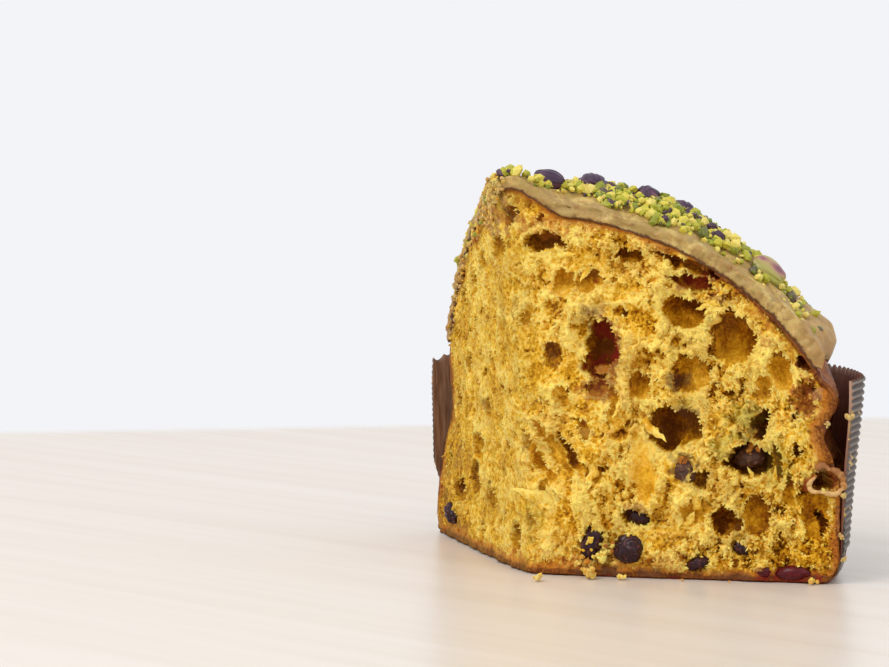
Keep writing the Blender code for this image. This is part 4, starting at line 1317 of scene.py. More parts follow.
def shell_faces(grid):
    """Faces of two grids like this one, back to back, closed along all four sides."""
    number = numbered(grid)
    rim, count = rim_of(number), number.size
    inner = grid_quads(number + count)[:, ::-1]
    return np.concatenate((grid_quads(number), inner, band(rim, rim + count))).tolist()


def build_crust():
    """The profile twice, swollen by noise outside, and drawn in by the pocket at the right cut."""
    share = round_share(CRUST_COLUMNS)
    outer = crust_profile(share, 0)
    inner = crust_profile(share, CRUST_THICKNESS)
    swell = fractal(outer, CRUST_SWELL_SIZE, 81, 4, 0.6) * CRUST_SWELL
    outer = outer * (1 + swell / DOME_RADIUS)[..., None] * (1, 1, 0) + outer * (0, 0, 1)
    behind_deg = share * WEDGE_DEG
    rolled = 1 - smooth_step(np.abs(outer[..., 2] - POCKET_Z), *POCKET_FADE)
    drawn_in = POCKET * rolled * (1 - smooth_step(behind_deg, 0, POCKET_DEG))
    outer, inner = (grid - RIGHT_OUT * drawn_in[..., None] for grid in (outer, inner))
    points = np.concatenate((outer.reshape(-1, 3), inner.reshape(-1, 3)))
    piece = make_piece("crust", points, shell_faces(outer), CRUST)
    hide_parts("bread")


CRUST = crust_finish("crust", (0.12, 0.024, 0.004), (0.32, 0.095, 0.014), (0.48, 0.19, 0.03))
ROLLED_CRUST = crust_finish(
    "rolled_crust", (0.26, 0.050, 0.007), (0.50, 0.16, 0.022), (0.60, 0.27, 0.05)
)
build_crust()

# %% [markdown]
# The side crust came loose as the loaf cooled. Below the shoulder it has rolled up into a small
# scroll against the paper. A tube with a gap would look like a pipe, so this is one band whose
# middle line is a spiral. It is thick where it leaves the loaf and ragged at its end, and it
# leans inwards behind the face.

# %% Rolled crust
CURL_ALONG, CURL_HEIGHT = 96.9 * MM, 32.7 * MM
CURL_RADIUS = (5 * MM, 3.5 * MM)
CURL_TURNS = (2.1, -3.9)
CURL_THICK = (1.9 * MM, 1 * MM)
CURL_REACH = (-9 * MM, 1.6 * MM)
CURL_WIDER, CURL_LOWER, CURL_LEAN = 1.2, 0.92, (2.6 * MM, 3 * MM)
CURL_WAVE, CURL_RAGGED = 0.07, 1.1 * MM
CURL_STEPS, CURL_DEEP = 120, 26


def curl_loop():
    """The band seen from the front, out on one side and back on the other, and its paleness.

    Its radius goes from one to another with the share to the power 1.5, and waves a little.
    """
    share = np.linspace(0, 1, CURL_STEPS)
    angle = CURL_TURNS[0] + (CURL_TURNS[1] - CURL_TURNS[0]) * share
    middle = CURL_RADIUS[0] + (CURL_RADIUS[1] - CURL_RADIUS[0]) * share**1.5
    middle = middle * (1 + CURL_WAVE * np.cos(3 * angle + 1.2))
    thick = (CURL_THICK[0] + (CURL_THICK[1] - CURL_THICK[0]) * share) / 2
    radius = np.concatenate((middle + thick, (middle - thick)[::-1]))
    angle = np.concatenate((angle, angle[::-1]))
    along = CURL_ALONG + radius * np.cos(angle) * CURL_WIDER
    height = CURL_HEIGHT + radius * np.sin(angle) * CURL_LOWER
    pale = 0.25 + 0.7 * smooth_step(-np.sin(angle + 0.5), -0.5, 0.5)
    return along, height, pale


def build_curl():
    """The loop, made uneven by noise and swept along the outward way, with strips for its caps."""
    along, height, pale = curl_loop()
    loop = stacked(along, 0, height)
    uneven = 1 + 0.2 * noise(loop, 4.5 * MM, 45) + 0.1 * noise(loop, 1.2 * MM, 46)
    along = CURL_ALONG + (along - CURL_ALONG) * uneven
    height = CURL_HEIGHT + (height - CURL_HEIGHT) * uneven
    deep = np.linspace(*CURL_REACH, CURL_DEEP)[:, None]
    ragged = CURL_RAGGED * fractal(loop, 2 * MM, 47, 2)[None, :]
    ragged = ragged * smooth_step(deep, -3 * MM, CURL_REACH[1])
    inwards = CURL_LEAN[0] * smooth_step(-deep, 0, CURL_LEAN[1])
    grid = cut_place(along[None, :] - inwards, height[None, :] + 0 * deep, deep + ragged)
    number = numbered(grid)
    strips = [number, number[:, [-1, 0]]]
    for row in (number[0], number[-1]):
        strips.append(np.stack((row[:CURL_STEPS], row[::-1][:CURL_STEPS])))
    faces = np.concatenate([grid_quads(strip) for strip in strips]).tolist()
    rim = smooth_step(deep + 0.5 * ragged, -0.2 * MM, 1.2 * MM) * pale
    piece = make_piece("rolled_crust", grid, faces, ROLLED_CRUST, {"rim": rim})
    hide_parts("bread")


build_curl()

# %% [markdown]
# Some walls of the dough stretched into thin sheets before they tore, and now hang at the mouths
# of the hollows as pale pointed flaps. Each is a narrow leaf: wide in its first third, drawn to
# a point, bent outwards along its length, and ragged on both edges.

# %% Flaps of stretched dough
# Along the face and height of the root, direction in degrees, length and width in mm, bend.
FLAPS = (
    (10, 23.2, 161, 13, 6, 0.3),
    (12, 22, 118, 9, 4, 0.3),
    (16, 23, 75, 6, 3.6, 0.3),
    (22, 35, 262, 7, 3.2, 0.25),
    (39.6, 49.4, -34, 8.5, 2.8, 0.4),
    (42, 34, 96, 9, 2.4, 0.25),
    (46, 33, 128, 6, 3, 0.3),
    (56, 24, 100, 6, 3, 0.3),
    (53, 18, 60, 5, 3, 0.3),
    (74, 32.5, 110, 5, 1.6, 0.3),
    (80.5, 31, 84, 7, 1.8, 0.3),
    (7, 103.6, 4, 10, 3.6, 0.2),
    (20, 100, 250, 5, 3, 0.3),
    (61, 89, 200, 6, 2.6, 0.3),
    (66.5, 94.5, 215, 5.5, 2.6, 0.3),
    (84, 16, 60, 6, 2.4, 0.3),
    (31, 57, 250, 6, 2, 0.3),
    (69, 29, 240, 5, 2.4, 0.3),
    (48.2, 2.4, 14, 5.6, 3.4, 0.15),
)
FLAP_LONG, FLAP_WIDE = 26, 12
FLAP_THICK, FLAP_ROOT = 0.45 * MM, 0.8 * MM


def flap_grid(number, along, height, angle_deg, length, width, bend):
    """Both sides of a leaf, as a closed grid round it: rows from root to point, columns round."""
    share = np.linspace(-0.25, 1, FLAP_LONG)[:, None]
    about = np.linspace(0, 2 * math.pi, 2 * FLAP_WIDE, endpoint=False)[None, :]
    outline = np.clip(np.minimum(1, (1 - share) * 1.35) ** 0.8, 0.02, 1)
    side = np.sign(np.cos(about)) * 3 + 0 * share
    flat = stacked(share * length, side, number * 7)
    ragged = 1 + 0.5 * noise(flat, 1.6, 131) + 0.35 * noise(flat, 0.8, 132)
    across = np.cos(about) * outline * width / 2 * MM * ragged
    thick = np.sin(about) * FLAP_THICK * (1.2 - share)
    curve = length * MM * bend * np.maximum(share, 0) ** 1.6 + 1.2 * MM * share
    cup = -0.25 * across**2 / (width * MM / 2) * 2
    turn = math.radians(angle_deg)
    side_along, side_up = -math.sin(turn), math.cos(turn)
    lateral = noise(stacked(share * 3 + number, 0 * share, 0 * share), 1, 133) * 0.8 * MM + across
    face_across = along * MM + share * length * MM * math.cos(turn) + lateral * side_along
    face_height = height * MM + share * length * MM * math.sin(turn) + lateral * side_up
    out = curve + cup + thick - FLAP_ROOT
    return cut_place(along_from(face_across, face_height), face_height, out)


def build_flaps():
    """All the leaves as one piece, with painted shade that fades towards their points."""
    patches, hollow = [], []
    for index, row in enumerate(FLAPS):
        grid = flap_grid(index, *row)
        number = numbered(grid)
        sides = np.concatenate((grid_quads(number), grid_quads(number[:, [-1, 0]]))).tolist()
        patches.append((grid, sides + [number[0].tolist(), number[-1, ::-1].tolist()]))
        depth = 0.34 * np.linspace(1, 0, len(grid))[:, None] + 0.12 * noise(grid, 2 * MM, 135)
        hollow.append(depth.ravel())
    points, faces = joined(patches)
    hollow = held(np.concatenate(hollow))
    values = {"hollow": hollow, "calm": np.full(len(hollow), 0.6)}
    piece = make_piece("crumb_flaps", points, faces, CRUMB, values)
    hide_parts("bread")


build_flaps()

# %% [markdown]
# The icing was spread while soft and has set into a skin about four millimetres thick. It runs
# further down in some places than in others, ends in a bead, and snapped when the loaf was cut.
# The same grid is laid twice, over the top and along the underside, and strips close the sides.

# %% Icing
ICING_THICKNESS = 3.8 * MM
ICING_EDGE_DEG, ICING_DRIP_DEG = 78, 3.2
ICING_SHORT_DEG, ICING_SHORT_SPAN_DEG = 4.5, 10
ICING_BEAD, ICING_BEAD_AT, ICING_BEAD_SPAN = 0.6, 0.93, 0.09
ICING_EDGE_ROUND = 0.035
ICING_EDGE_BULGE = 1.3 * MM
ICING_CURL = 2 * MM
ICING_PROUD = 0.6 * MM
ICING_TIP_ROUNDING = 3.3 * MM
ICING_COLUMNS, ICING_RINGS, ICING_LAYERS = 280, 120, 9


def icing_reach(direction_deg):
    """How far down the dome it runs, as a turn: two waves of drips, and short by the right cut."""
    waves = np.sin(np.radians(direction_deg * 7))
    waves = waves + 0.7 * np.sin(np.radians(direction_deg * 17 + 40))
    short = ICING_SHORT_DEG * bell(direction_deg, RIGHT_CUT_DEG, ICING_SHORT_SPAN_DEG)
    return np.radians(ICING_EDGE_DEG + ICING_DRIP_DEG * waves - short)


def icing_lift(share):
    """Its thickness on the way down: a bell near the edge, then the root curve of a round end."""
    bead = ICING_BEAD * bell(share, ICING_BEAD_AT, ICING_BEAD_SPAN)
    edge = np.sqrt(np.minimum((1 - share) / ICING_EDGE_ROUND + 0.12, 1))
    return ICING_THICKNESS * (1 + bead) * edge


def over_dome(places, lift):
    """A point over a place of the dome, lifted upwards near the axis and outwards lower down."""
    radius = np.hypot(places[..., 0], places[..., 1])
    outward = unit(places * (1, 1, 0) * (radius / DOME_RADIUS**2)[..., None] + UP)
    base = places * (1, 1, 0) + UP * bread_top(places)[..., None]
    return base + outward * np.asarray(lift)[..., None]


def icing_finish():
    """Olive beige, satin on top, mottled brown where it baked, dark along its underside."""
    material, shader, wire = new_finish(
        "pistachio_icing", 0.45,
        Subsurface_Weight=0.15, Subsurface_Scale=0.0015, Specular_IOR_Level=0.35,
    )
    broad = wire.grain(8 * MM, 4, 0.6)
    fine = wire.grain(1.1 * MM, 4, 0.65)
    colour = broad.step(0.42, 0.6).mix((0.42, 0.285, 0.084), (0.65, 0.470, 0.150))
    colour = (fine.step(0.5, 0.8) * 0.4).mix(colour, (0.62, 0.48, 0.21))
    toasted = wire.grain(5 * MM, 5, 0.7).step(0.43, 0.57)
    colour = (toasted * 0.6).mix(colour, (0.38, 0.21, 0.06))
    spots = wire.grain(2.2 * MM, 4, 0.7).step(0.55, 0.66)
    colour = (spots * 0.6).mix(colour, (0.30, 0.115, 0.035))
    edge = wire.value_of("edge")
    colour = (edge * (broad * 0.6 + 0.35)).held().mix(colour, (0.42, 0.225, 0.075))
    under = (wire.value_of("under") + (wire.grain(1.6 * MM, 4, 0.7) - 0.5) * 0.9).held()
    colour = under.step(0.58, 0.84).mix(colour, (0.13, 0.05, 0.016))
    plug(shader, Base_Color=colour, Roughness=fine * 0.3 + 0.3, Normal=bumped(fine, 0.5, 0.4 * MM))
    return material


def icing_sheet(share, down, lift_share):
    """The icing at shares of the way round and down, and of its thickness: 0 below, 1 on top.

    It swells with noise and is pinched along the zero lines of a broader noise. Its underside
    has small teeth, and curls up at the edge.
    """
    direction = RIGHT_CUT_DEG + WEDGE_DEG * share
    radius = DOME_RADIUS * np.sin(icing_reach(direction) * down)
    rough_height = bread_top(stacked(radius * RIGHT[0], radius * RIGHT[1], 0))
    place = wedge_place(share, radius, rough_height, ICING_PROUD, ICING_TIP_ROUNDING)
    pinch = bell(noise(place, 15 * MM, 93), 0, 0.07) * smooth_step(radius, 6 * MM, 20 * MM)
    swell = 1 + 0.34 * fractal(place, 12 * MM, 91, 3) + 0.07 * noise(place, 2.2 * MM, 95)
    swell = swell - 0.32 * pinch
    teeth = (0.5 + 0.55 * fractal(place, 2.2 * MM, 96, 2)) * MM
    curled = ICING_CURL * smooth_step(down, 0.95, 1) ** 2 - teeth
    lift = icing_lift(down) * swell * lift_share + curled * (1 - lift_share)
    return over_dome(place, lift)


def build_icing():
    """Top and underside grids, the cut faces between them in layers, and the round outer edge."""
    down = (1 - (1 - np.linspace(0, 1, ICING_RINGS)) ** 1.5)[:, None]
    share = round_share(ICING_COLUMNS)
    top, below = icing_sheet(share, down, 1), icing_sheet(share, down, 0)
    level = np.linspace(0, 1, ICING_LAYERS)[None, :]
    rounded = np.sqrt(held(4 * level * (1 - level)))
    near_edge = smooth_step(down, 0.72, 0.97)
    patches, under, edge = [], [], []

    def add(grid, underside, at_edge):
        """Keep a grid, with how much of it is underside and how much is edge."""
        patches.append((grid, grid_quads(numbered(grid))))
        under.append((underside + np.zeros(grid.shape[:2])).ravel())
        edge.append((at_edge + np.zeros(grid.shape[:2])).ravel())

    add(top, 0, near_edge)
    add(below, 1, near_edge)
    for column, outward in ((0, RIGHT_OUT), (-1, LEFT_OUT)):
        low, high = below[:, column, None, :], top[:, column, None, :]
        wall = low + (high - low) * level[..., None]
        lumps = 0.4 * MM + fractal(wall, 4 * MM, 97, 4, 0.65) * 1.3 * MM
        lumps = lumps * (smooth_step(down, 0.02, 0.14) * (1 - down**30))
        add(wall + outward * (rounded * lumps)[..., None], 1 - level * 1.6, near_edge)
    end = below[-1, :, None, :] + (top[-1, :, None, :] - below[-1, :, None, :]) * level[..., None]
    onward = unit(top[-1] - top[-2])
    fade = smooth_step(np.minimum(share, 1 - share), 0, 0.02).T
    bulge = (ICING_EDGE_BULGE * fade * rounded)[..., None]
    add(end + onward[:, None, :] * bulge, 1 - level, 1)
    points, faces = joined(patches)
    values = {"under": np.concatenate(under), "edge": np.concatenate(edge)}
    piece = make_piece("icing_skin", points, faces, icing_finish(), values)
    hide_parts("icing")


build_icing()

# %% [markdown]
# Chopped pistachio is thrown on while the icing is wet. Each bit is a small chunk with flat
# broken sides, so an icosahedron with each of its corners moved at random will do, and a
# thousand of them cost little. Some show their purple skin, most their green or yellow inside.

# %% Chopped pistachio
CHUNKS = 1600
CHUNK_HALF_MM = (0.6, 2.2)
TIP_CHUNKS = 36
SPILLED_CHUNKS = 22
# Bare icing beside the right cut: its least width, how uneven that is, and a wider lobe.
ICING_BARE = (4.2 * MM, 2.8 * MM, 5 * MM)
CHUNK_REACH, CHUNK_FADE = 92 * MM, 70 * MM
RIDGE_BACK = (26 * MM, 46 * MM)
TIP_PILE_REACH, TIP_PILE, RIDGE_PILE = 7 * MM, 2.2 * MM, 1.6 * MM
GOLDEN = (1 + math.sqrt(5)) / 2
NUT_STOPS = (
    (0, (0.82, 0.67, 0.16)), (0.3, (0.66, 0.57, 0.055)), (0.55, (0.42, 0.41, 0.022)),
    (0.8, (0.17, 0.22, 0.014)), (0.9, (0.10, 0.04, 0.075)), (1, (0.05, 0.02, 0.045)),
)


def unit_icosahedron():
    """Twelve corners, at the swaps of (0, ±1, ±golden ratio), and their twenty nearest triples."""
    signs = [(a, b * GOLDEN) for a in (-1, 1) for b in (-1, 1)]
    corners = [(0, a, b) for a, b in signs]
    corners += [(a, b, 0) for a, b in signs]
    corners = np.array(corners + [(b, 0, a) for a, b in signs], float)
    near = np.linalg.norm(corners[:, None] - corners[None], axis=-1) < 2.1
    faces = []
    for i, j, k in itertools.combinations(range(12), 3):
        if near[i, j] and near[j, k] and near[i, k]:
            normal = np.cross(corners[j] - corners[i], corners[k] - corners[i])
            faces.append((i, j, k) if normal @ corners[i] > 0 else (i, k, j))
    return corners / np.linalg.norm(corners[0]), np.array(faces)


def turned_frames(draw, count):
    """Random rotations: two directions square to each other, and their cross product."""
    first = unit(draw.normal(size=(count, 3)))
    second = unit(np.cross(first, draw.normal(size=(count, 3))))
    return np.stack((first, second, np.cross(first, second)), axis=1)


def scattered_chunks(draw, places, half_sizes):
    """An icosahedron at each place, its corners moved and its sides squeezed at random."""
    corners, faces = unit_icosahedron()
    count = len(places)
    shapes = corners[None] * draw.uniform(0.72, 1.18, (count, 12, 1))
    shapes = shapes * draw.uniform(0.6, 1.25, (count, 1, 3))
    shapes = np.einsum("nij,njk->nik", shapes, turned_frames(draw, count))
    points = places[:, None, :] + shapes * half_sizes[:, None, None]
    all_faces = faces[None] + (np.arange(count) * 12)[:, None, None]
    return points.reshape(-1, 3), all_faces.reshape(-1, 3)


def nut_finish():
    """Chopped nut: tone 0 is pale yellow, then green, and near 1 it is purple-brown skin."""
    material, shader, wire = new_finish(
        "chopped_pistachio", 0.5, Subsurface_Weight=0.15, Subsurface_Scale=0.001
    )
    tone = (wire.value_of("tone") + (wire.grain(0.8 * MM, 2) - 0.5) * 0.25).held()
    uneven = bumped(wire.grain(0.4 * MM, 3), 0.3, 0.1 * MM)
    plug(shader, Base_Color=tone.ramp(NUT_STOPS), Normal=uneven)
    return material


def chunk_places(draw):
    """Seeded places on the iced top: thick along the right cut, in loose drifts elsewhere."""
    share = draw.random(CHUNKS * 12)
    radius = CHUNK_REACH * np.sqrt(draw.random(CHUNKS * 12))
    place = wedge_place(share, radius, dome_height(radius), ICING_PROUD, ICING_TIP_ROUNDING)
    behind = -(place @ RIGHT_OUT)
    along = place @ RIGHT
    least, uneven, lobe = ICING_BARE
    start = (least + uneven * noise(place, 10 * MM, 64)) * smooth_step(along, 2 * MM, 10 * MM)
    start = start + lobe * bell(along, 15 * MM, 8 * MM)
    ridge = smooth_step(behind - start, 0, 1.2 * MM) * bell(along, 40 * MM, 32 * MM)
    ridge = ridge * (1 - smooth_step(behind, *RIDGE_BACK))
    ridge = ridge * (0.35 + 0.65 * smooth_step(fractal(place, 13 * MM, 63, 2), -0.3, 0.15))
    beside_kernel = bell(np.hypot(along - 14 * MM, behind - 15 * MM), 0, 7 * MM)
    clear = smooth_step(behind - start, 0, 1.2 * MM)
    tip = bell(radius, 2 * MM, 4 * MM) + beside_kernel * clear
    drift = smooth_step(fractal(place, 18 * MM, 61, 2), 0, 0.5)
    drift = 0.3 * drift * (1 - smooth_step(radius, CHUNK_FADE, CHUNK_REACH)) + 0.05
    edge_room = np.minimum(behind, -(place @ LEFT_OUT))
    wanted = np.maximum(np.maximum(ridge, tip), drift * clear) * (edge_room > 0.1 * MM)
    kept = place[draw.random(len(place)) < wanted][:CHUNKS]
    share, radius = draw.random(TIP_CHUNKS), TIP_PILE_REACH * draw.random(TIP_CHUNKS)
    top = wedge_place(share, radius, dome_height(0), -0.5 * MM, ICING_TIP_ROUNDING)
    return np.concatenate((kept, top))


def build_chunks():
    """Chunks on the icing, piled along the ridge and at the tip, and some spilled by the cut."""
    draw = np.random.default_rng(77)
    place = chunk_places(draw)
    half = between(draw, CHUNK_HALF_MM, len(place))
    pile = RIDGE_PILE * bell(place @ RIGHT, 38 * MM, 24 * MM) * draw.random(len(place))
    from_tip = np.hypot(place[:, 0], place[:, 1])
    pile = pile + TIP_PILE * bell(from_tip, 0, 9 * MM) * draw.random(len(place))
    centre = over_dome(place, ICING_THICKNESS + half * draw.uniform(-0.2, 0.7, len(place)) + pile)
    spilled_along = -draw.uniform(3, 70, SPILLED_CHUNKS) * MM
    spilled_top = bread_top(cut_place(spilled_along, np.full(SPILLED_CHUNKS, SHOULDER_Z)))
    spilled_top = spilled_top + draw.uniform(-5, 3, SPILLED_CHUNKS) * MM
    centre = np.concatenate((centre, cut_place(spilled_along, spilled_top, 0.7 * MM)))
    half = np.concatenate((half, draw.uniform(0.7, 1.5, SPILLED_CHUNKS) * MM))
    points, faces = scattered_chunks(draw, centre, half)
    values = {"tone": np.repeat(draw.random(len(half)) ** 1.25, 12)}
    piece = make_piece(
        "chopped_pistachio", points, faces.tolist(), nut_finish(), values,
        smooth=False,
    )
    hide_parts("icing")
    print("chunks:", len(half))


build_chunks()

# %% [markdown]
# Handling a cut loaf leaves crumbs: on the raisins, along the paper's edge, below the crust and
# on the table. They are the same torn chunks as the nuts, in the crumb's own colours, and a few
# larger ones are made of several chunks pressed together.

# %% Crumbs
# Along the face, height, out, reach and size of the crumbs in mm, count, painted shade, baked.
CRUMB_SPOTS = (
    (22, 12, 3.6, 3, 1.8, 11, 0.3, 0.15),
    (24.4, 7, 2, 2.6, 2.6, 9, 0.1, 0.2),
    (19, 4, 2, 2.6, 2.2, 8, 0.2, 0.35),
    (33.6, 15, 1.2, 2.2, 1.8, 6, 0.05, 0.1),
    (29, 10, 0.8, 2.4, 2.2, 9, 0.2, 0.4),
    (56, 8.6, 0.6, 2.4, 1.9, 6, 0, 0),
    (70.8, 12.6, 1.4, 1.6, 1.9, 6, 0, 0),
    (72.6, 42, -3, 2.6, 2, 8, 0.5, 0.7),
    (51.2, 38.5, 0.4, 2.6, 1.9, 8, 0.5, 0.7),
    (60.6, 84, 1.6, 1.7, 2, 10, -0.15, 0),
    (59.2, 81.4, 1.4, 0.8, 1.5, 5, -0.15, 0),
    (-0.5, 127, 2.8, 2.4, 2.4, 30, 0.1, 0.15),
    (-3, 123, 2.6, 3, 2.4, 36, 0.1, 0.15),
    (-9, 119, 0.8, 3.6, 2, 22, 0.2, 0.3),
    (-14, 115, 0.5, 4, 1.8, 16, 0.3, 0.4),
    (102.6, 28.2, 0.8, 1.3, 1.7, 8, 0, 0),
    (104, 53.8, 0.4, 1.3, 2, 8, 0.1, 0),
    (104.3, 46.5, 0.4, 0.4, 1.1, 2, 0, 0.1),
    (97.2, 51, 0.6, 1.3, 1.7, 7, 0.1, 0),
    (102.2, 15.4, 0.6, 0.9, 1.5, 5, 0.1, 0.2),
    (103, 7.6, 0.6, 1.1, 1.6, 6, 0, 0.1),
)
EDGE_CRUMBS = 520
# Places on the table, from the axis, with the size of one crumb and the same values.
FLOOR_SPOTS = (
    (12.5, -8.5, 0.9, 2.2, 7, 0, 0),
    (22.4, 6.4, 1.6, 2.8, 9, 0.1, 0.45),
    (30.6, 11.5, 1, 1.8, 4, 0, 0.1),
    (81, 46.6, 1.1, 1.7, 8, 0.1, 0.4),
    (47, 22, 0.5, 1, 2, 0.1, 0.5),
    (60, 30, 0.4, 1, 2, 0.1, 0.4),
)


def build_crumbs():
    """Chunks thrown round each spot: a normal spread, flattened towards the face or the table."""
    draw = np.random.default_rng(29)
    places, halves, hollow, baked = [], [], [], []

    def add(place, half, pale, brown):
        """Keep some crumbs: their places, half sizes, how much painted shade they get and how baked
        they are.
        """
        places.append(place)
        halves.append(half)
        hollow.append(pale + 0 * half)
        baked.append(brown + 0 * half)

    for along, height, out, reach, size, count, pale, brown in CRUMB_SPOTS:
        spread = draw.normal(size=(count, 3)) * (reach / 2.2, reach / 2.2, reach / 6)
        face_along, face_height, face_out = (spread + (along, height, out)).T * MM
        half = size * draw.uniform(0.5, 1.1, count) * MM / 2
        add(cut_place(face_along, face_height, face_out), half, pale, brown)
    edge_along = -draw.uniform(3, 97, EDGE_CRUMBS) * MM
    edge_top = bread_top(cut_place(edge_along, np.full(EDGE_CRUMBS, SHOULDER_Z)))
    edge_height = edge_top + draw.uniform(-5, 3.5, EDGE_CRUMBS) * MM
    edge_out = draw.uniform(-0.4, 0.9, EDGE_CRUMBS) * MM
    half = between(draw, (0.3, 1.2), EDGE_CRUMBS)
    pale, brown = draw.uniform(0.1, 0.9, EDGE_CRUMBS), draw.uniform(0, 0.5, EDGE_CRUMBS)
    add(cut_place(edge_along, edge_height, edge_out), half, pale, brown)
    for x, y, reach, size, count, pale, brown in FLOOR_SPOTS:
        half = size * draw.uniform(0.7, 1.2, count) * MM / 2
        spread = draw.normal(size=(count, 3)) * (reach, reach, reach / 2) * MM
        place = np.array((x, y, 0)) * MM + spread
        place[:, 2] = np.abs(place[:, 2]) + half * 0.9
        add(place, half, pale, brown)
    places, halves = np.concatenate(places), np.concatenate(halves)
    points, faces = scattered_chunks(draw, places, halves)
    wander = draw.normal(size=len(places)) * 0.12
    dusty = 0.45 * draw.random(len(places)) * (places @ RIGHT < 4 * MM)
    creamy = 0.75 * (places @ RIGHT > 97 * MM)
    values = {
        "hollow": np.repeat(held(np.concatenate(hollow) + wander), 12),
        "baked": np.repeat(held(np.concatenate(baked) + wander), 12),
        "green": np.repeat(dusty, 12),
        "brown": np.repeat(0.8 * dusty[::-1], 12),
        "dusty": np.repeat(np.maximum(np.roll(dusty, 7) * 2, creamy), 12),
    }
    piece = make_piece("loose_crumbs", points, faces.tolist(), CRUMB, values, smooth=False)
    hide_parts("bread")
    print("crumbs:", len(places))


build_crumbs()

# %% [markdown]
# A shelled pistachio is a pointed oval of two halves. Its papery skin is purple with green
# showing through, and wrinkles along it. One closed ball grid serves for kernels and for fruit:
# rings of points between two poles, pushed in and out by a formula for each kind.

# %% Whole kernels
BALL_ROWS, BALL_COLUMNS = 40, 64
# Name, direction in degrees, distance from the axis in mm, turn, length in mm, how purple.
KERNELS = (
    ("kernel_tip", 99, 13.5, -62, 12.5, 0.9),
    ("kernel_ridge", 78, 27, 66, 12, 0.9),
    ("kernel_shoulder", 66, 43, 30, 11, 0.8),
    ("kernel_right_low", 41.5, 75.5, -8, 15, 0.1),
    ("kernel_mid", 63, 53.5, 75, 11.5, 0.75),
    ("kernel_back", 94, 74, 15, 14, 0.5),
    ("kernel_left", 120, 40, -35, 13, 0.7),
    ("kernel_left_low", 133, 77, 64, 14, 0.45),
    ("kernel_behind", 99, 47, 80, 12, 0.8),
)
KERNEL_WIDTH, KERNEL_HEIGHT, KERNEL_SUNK = 8 * MM, 6.6 * MM, 1.9 * MM
SKIN_STOPS = (
    (0, (0.42, 0.42, 0.09)), (0.32, (0.44, 0.30, 0.14)), (0.5, (0.33, 0.13, 0.13)),
    (0.72, (0.105, 0.035, 0.085)), (1, (0.042, 0.014, 0.045)),
)


def ball_grid():
    """Directions round a ball's long first axis, with one point at each pole, and its faces."""
    columns = BALL_COLUMNS
    lean_in = np.linspace(0, math.pi, BALL_ROWS + 2)[1:-1, None]
    about = np.linspace(0, 2 * math.pi, columns, endpoint=False)[None, :]
    wide = np.sin(lean_in)
    rings = stacked(np.cos(lean_in) + 0 * about, wide * np.cos(about), wide * np.sin(about))
    points = np.concatenate(([[1, 0, 0]], rings.reshape(-1, 3), [[-1, 0, 0]]))
    number = 1 + numbered(rings)
    number = np.concatenate((number, number[:, :1]), axis=1)
    first, last = number[0].tolist(), number[-1].tolist()
    faces = grid_quads(number).tolist()
    faces += [(0, b, a) for a, b in zip(first, first[1:])]
    return points, faces + [(len(points) - 1, a, b) for a, b in zip(last, last[1:])]


def kernel_frame(direction, radius, turn_deg):
    """Axes of a kernel on the icing: its third axis is square to the icing, its first is turned."""
    step = 1 * MM

    def at(angle, away):
        """The icing's surface in a direction, at a distance from the axis."""
        level = np.array((math.cos(angle), math.sin(angle), 0)) * away
        return over_dome(level, np.array(ICING_THICKNESS))

    here = at(direction, radius)
    outwards = at(direction, radius + step) - here
    upright = np.cross(outwards, at(direction + step / radius, radius) - here)
    upright /= np.linalg.norm(upright)
    along = outwards / np.linalg.norm(outwards)
    across = np.cross(upright, along)
    turn = math.radians(turn_deg)
    first = along * math.cos(turn) + across * math.sin(turn)
    return here, np.stack((first, np.cross(upright, first), upright))


def kernel_finish():
    """Pistachio skin: green where it has rubbed off, rose between, purple-brown on the back."""
    material, shader, wire = new_finish(
        "pistachio_skin", 0.42, Subsurface_Weight=0.12, Subsurface_Scale=0.0015
    )
    skin = (wire.value_of("skin") + (wire.grain(2.4 * MM, 4, 0.6) - 0.5) * 0.5).held()
    wrinkles = bumped(wire.grain(0.7 * MM, 4, 0.6), 0.5, 0.2 * MM)
    plug(shader, Base_Color=skin.ramp(SKIN_STOPS), Normal=wrinkles)
    return material


KERNEL_SKIN = kernel_finish()


def build_kernel(number, name, direction_deg, distance, turn, length, purple):
    """Half sizes times the ball, its ends drawn to points, with long wrinkles and a seam."""
    ball, faces = ball_grid()
    here, axes = kernel_frame(math.radians(direction_deg), distance * MM, turn)
    ends = 1 - 0.22 * np.abs(ball[:, 0]) ** 3
    about = np.arctan2(ball[:, 2], ball[:, 1])
    seam = 0.09 * bell(np.cos(about), 0, 0.13) * (1 - ball[:, 0] ** 4)
    shift = np.array((number * 3.1, 0, 0))
    wrinkles = 0.09 * noise(ball * (0.6, 3.2, 3.2) + shift, 1, 5)
    wrinkles = wrinkles + 0.07 * noise(ball + shift, 0.9, 6)
    half = np.array((length * MM / 2, KERNEL_WIDTH / 2, KERNEL_HEIGHT / 2))
    shape = ball * half * ((1 + wrinkles - seam) * ends)[:, None]
    points = here + axes[2] * (KERNEL_HEIGHT / 2 - KERNEL_SUNK) + shape @ axes
    skin = held(purple + 0.35 * ball[:, 2] + 0.45 * noise(ball + shift, 0.8, 9))
    piece = make_piece(name + "_skin", points, faces, KERNEL_SKIN, {"skin": skin})
    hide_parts(name)


for number, row in enumerate(KERNELS):
    build_kernel(number, *row)

# %% [markdown]
# Raisins wrinkle into deep folds as they dry, and stay glossy. Candied cherry is smoother, more
# transparent and bright red. Both sit in sockets of the crumb, a little out of its face.

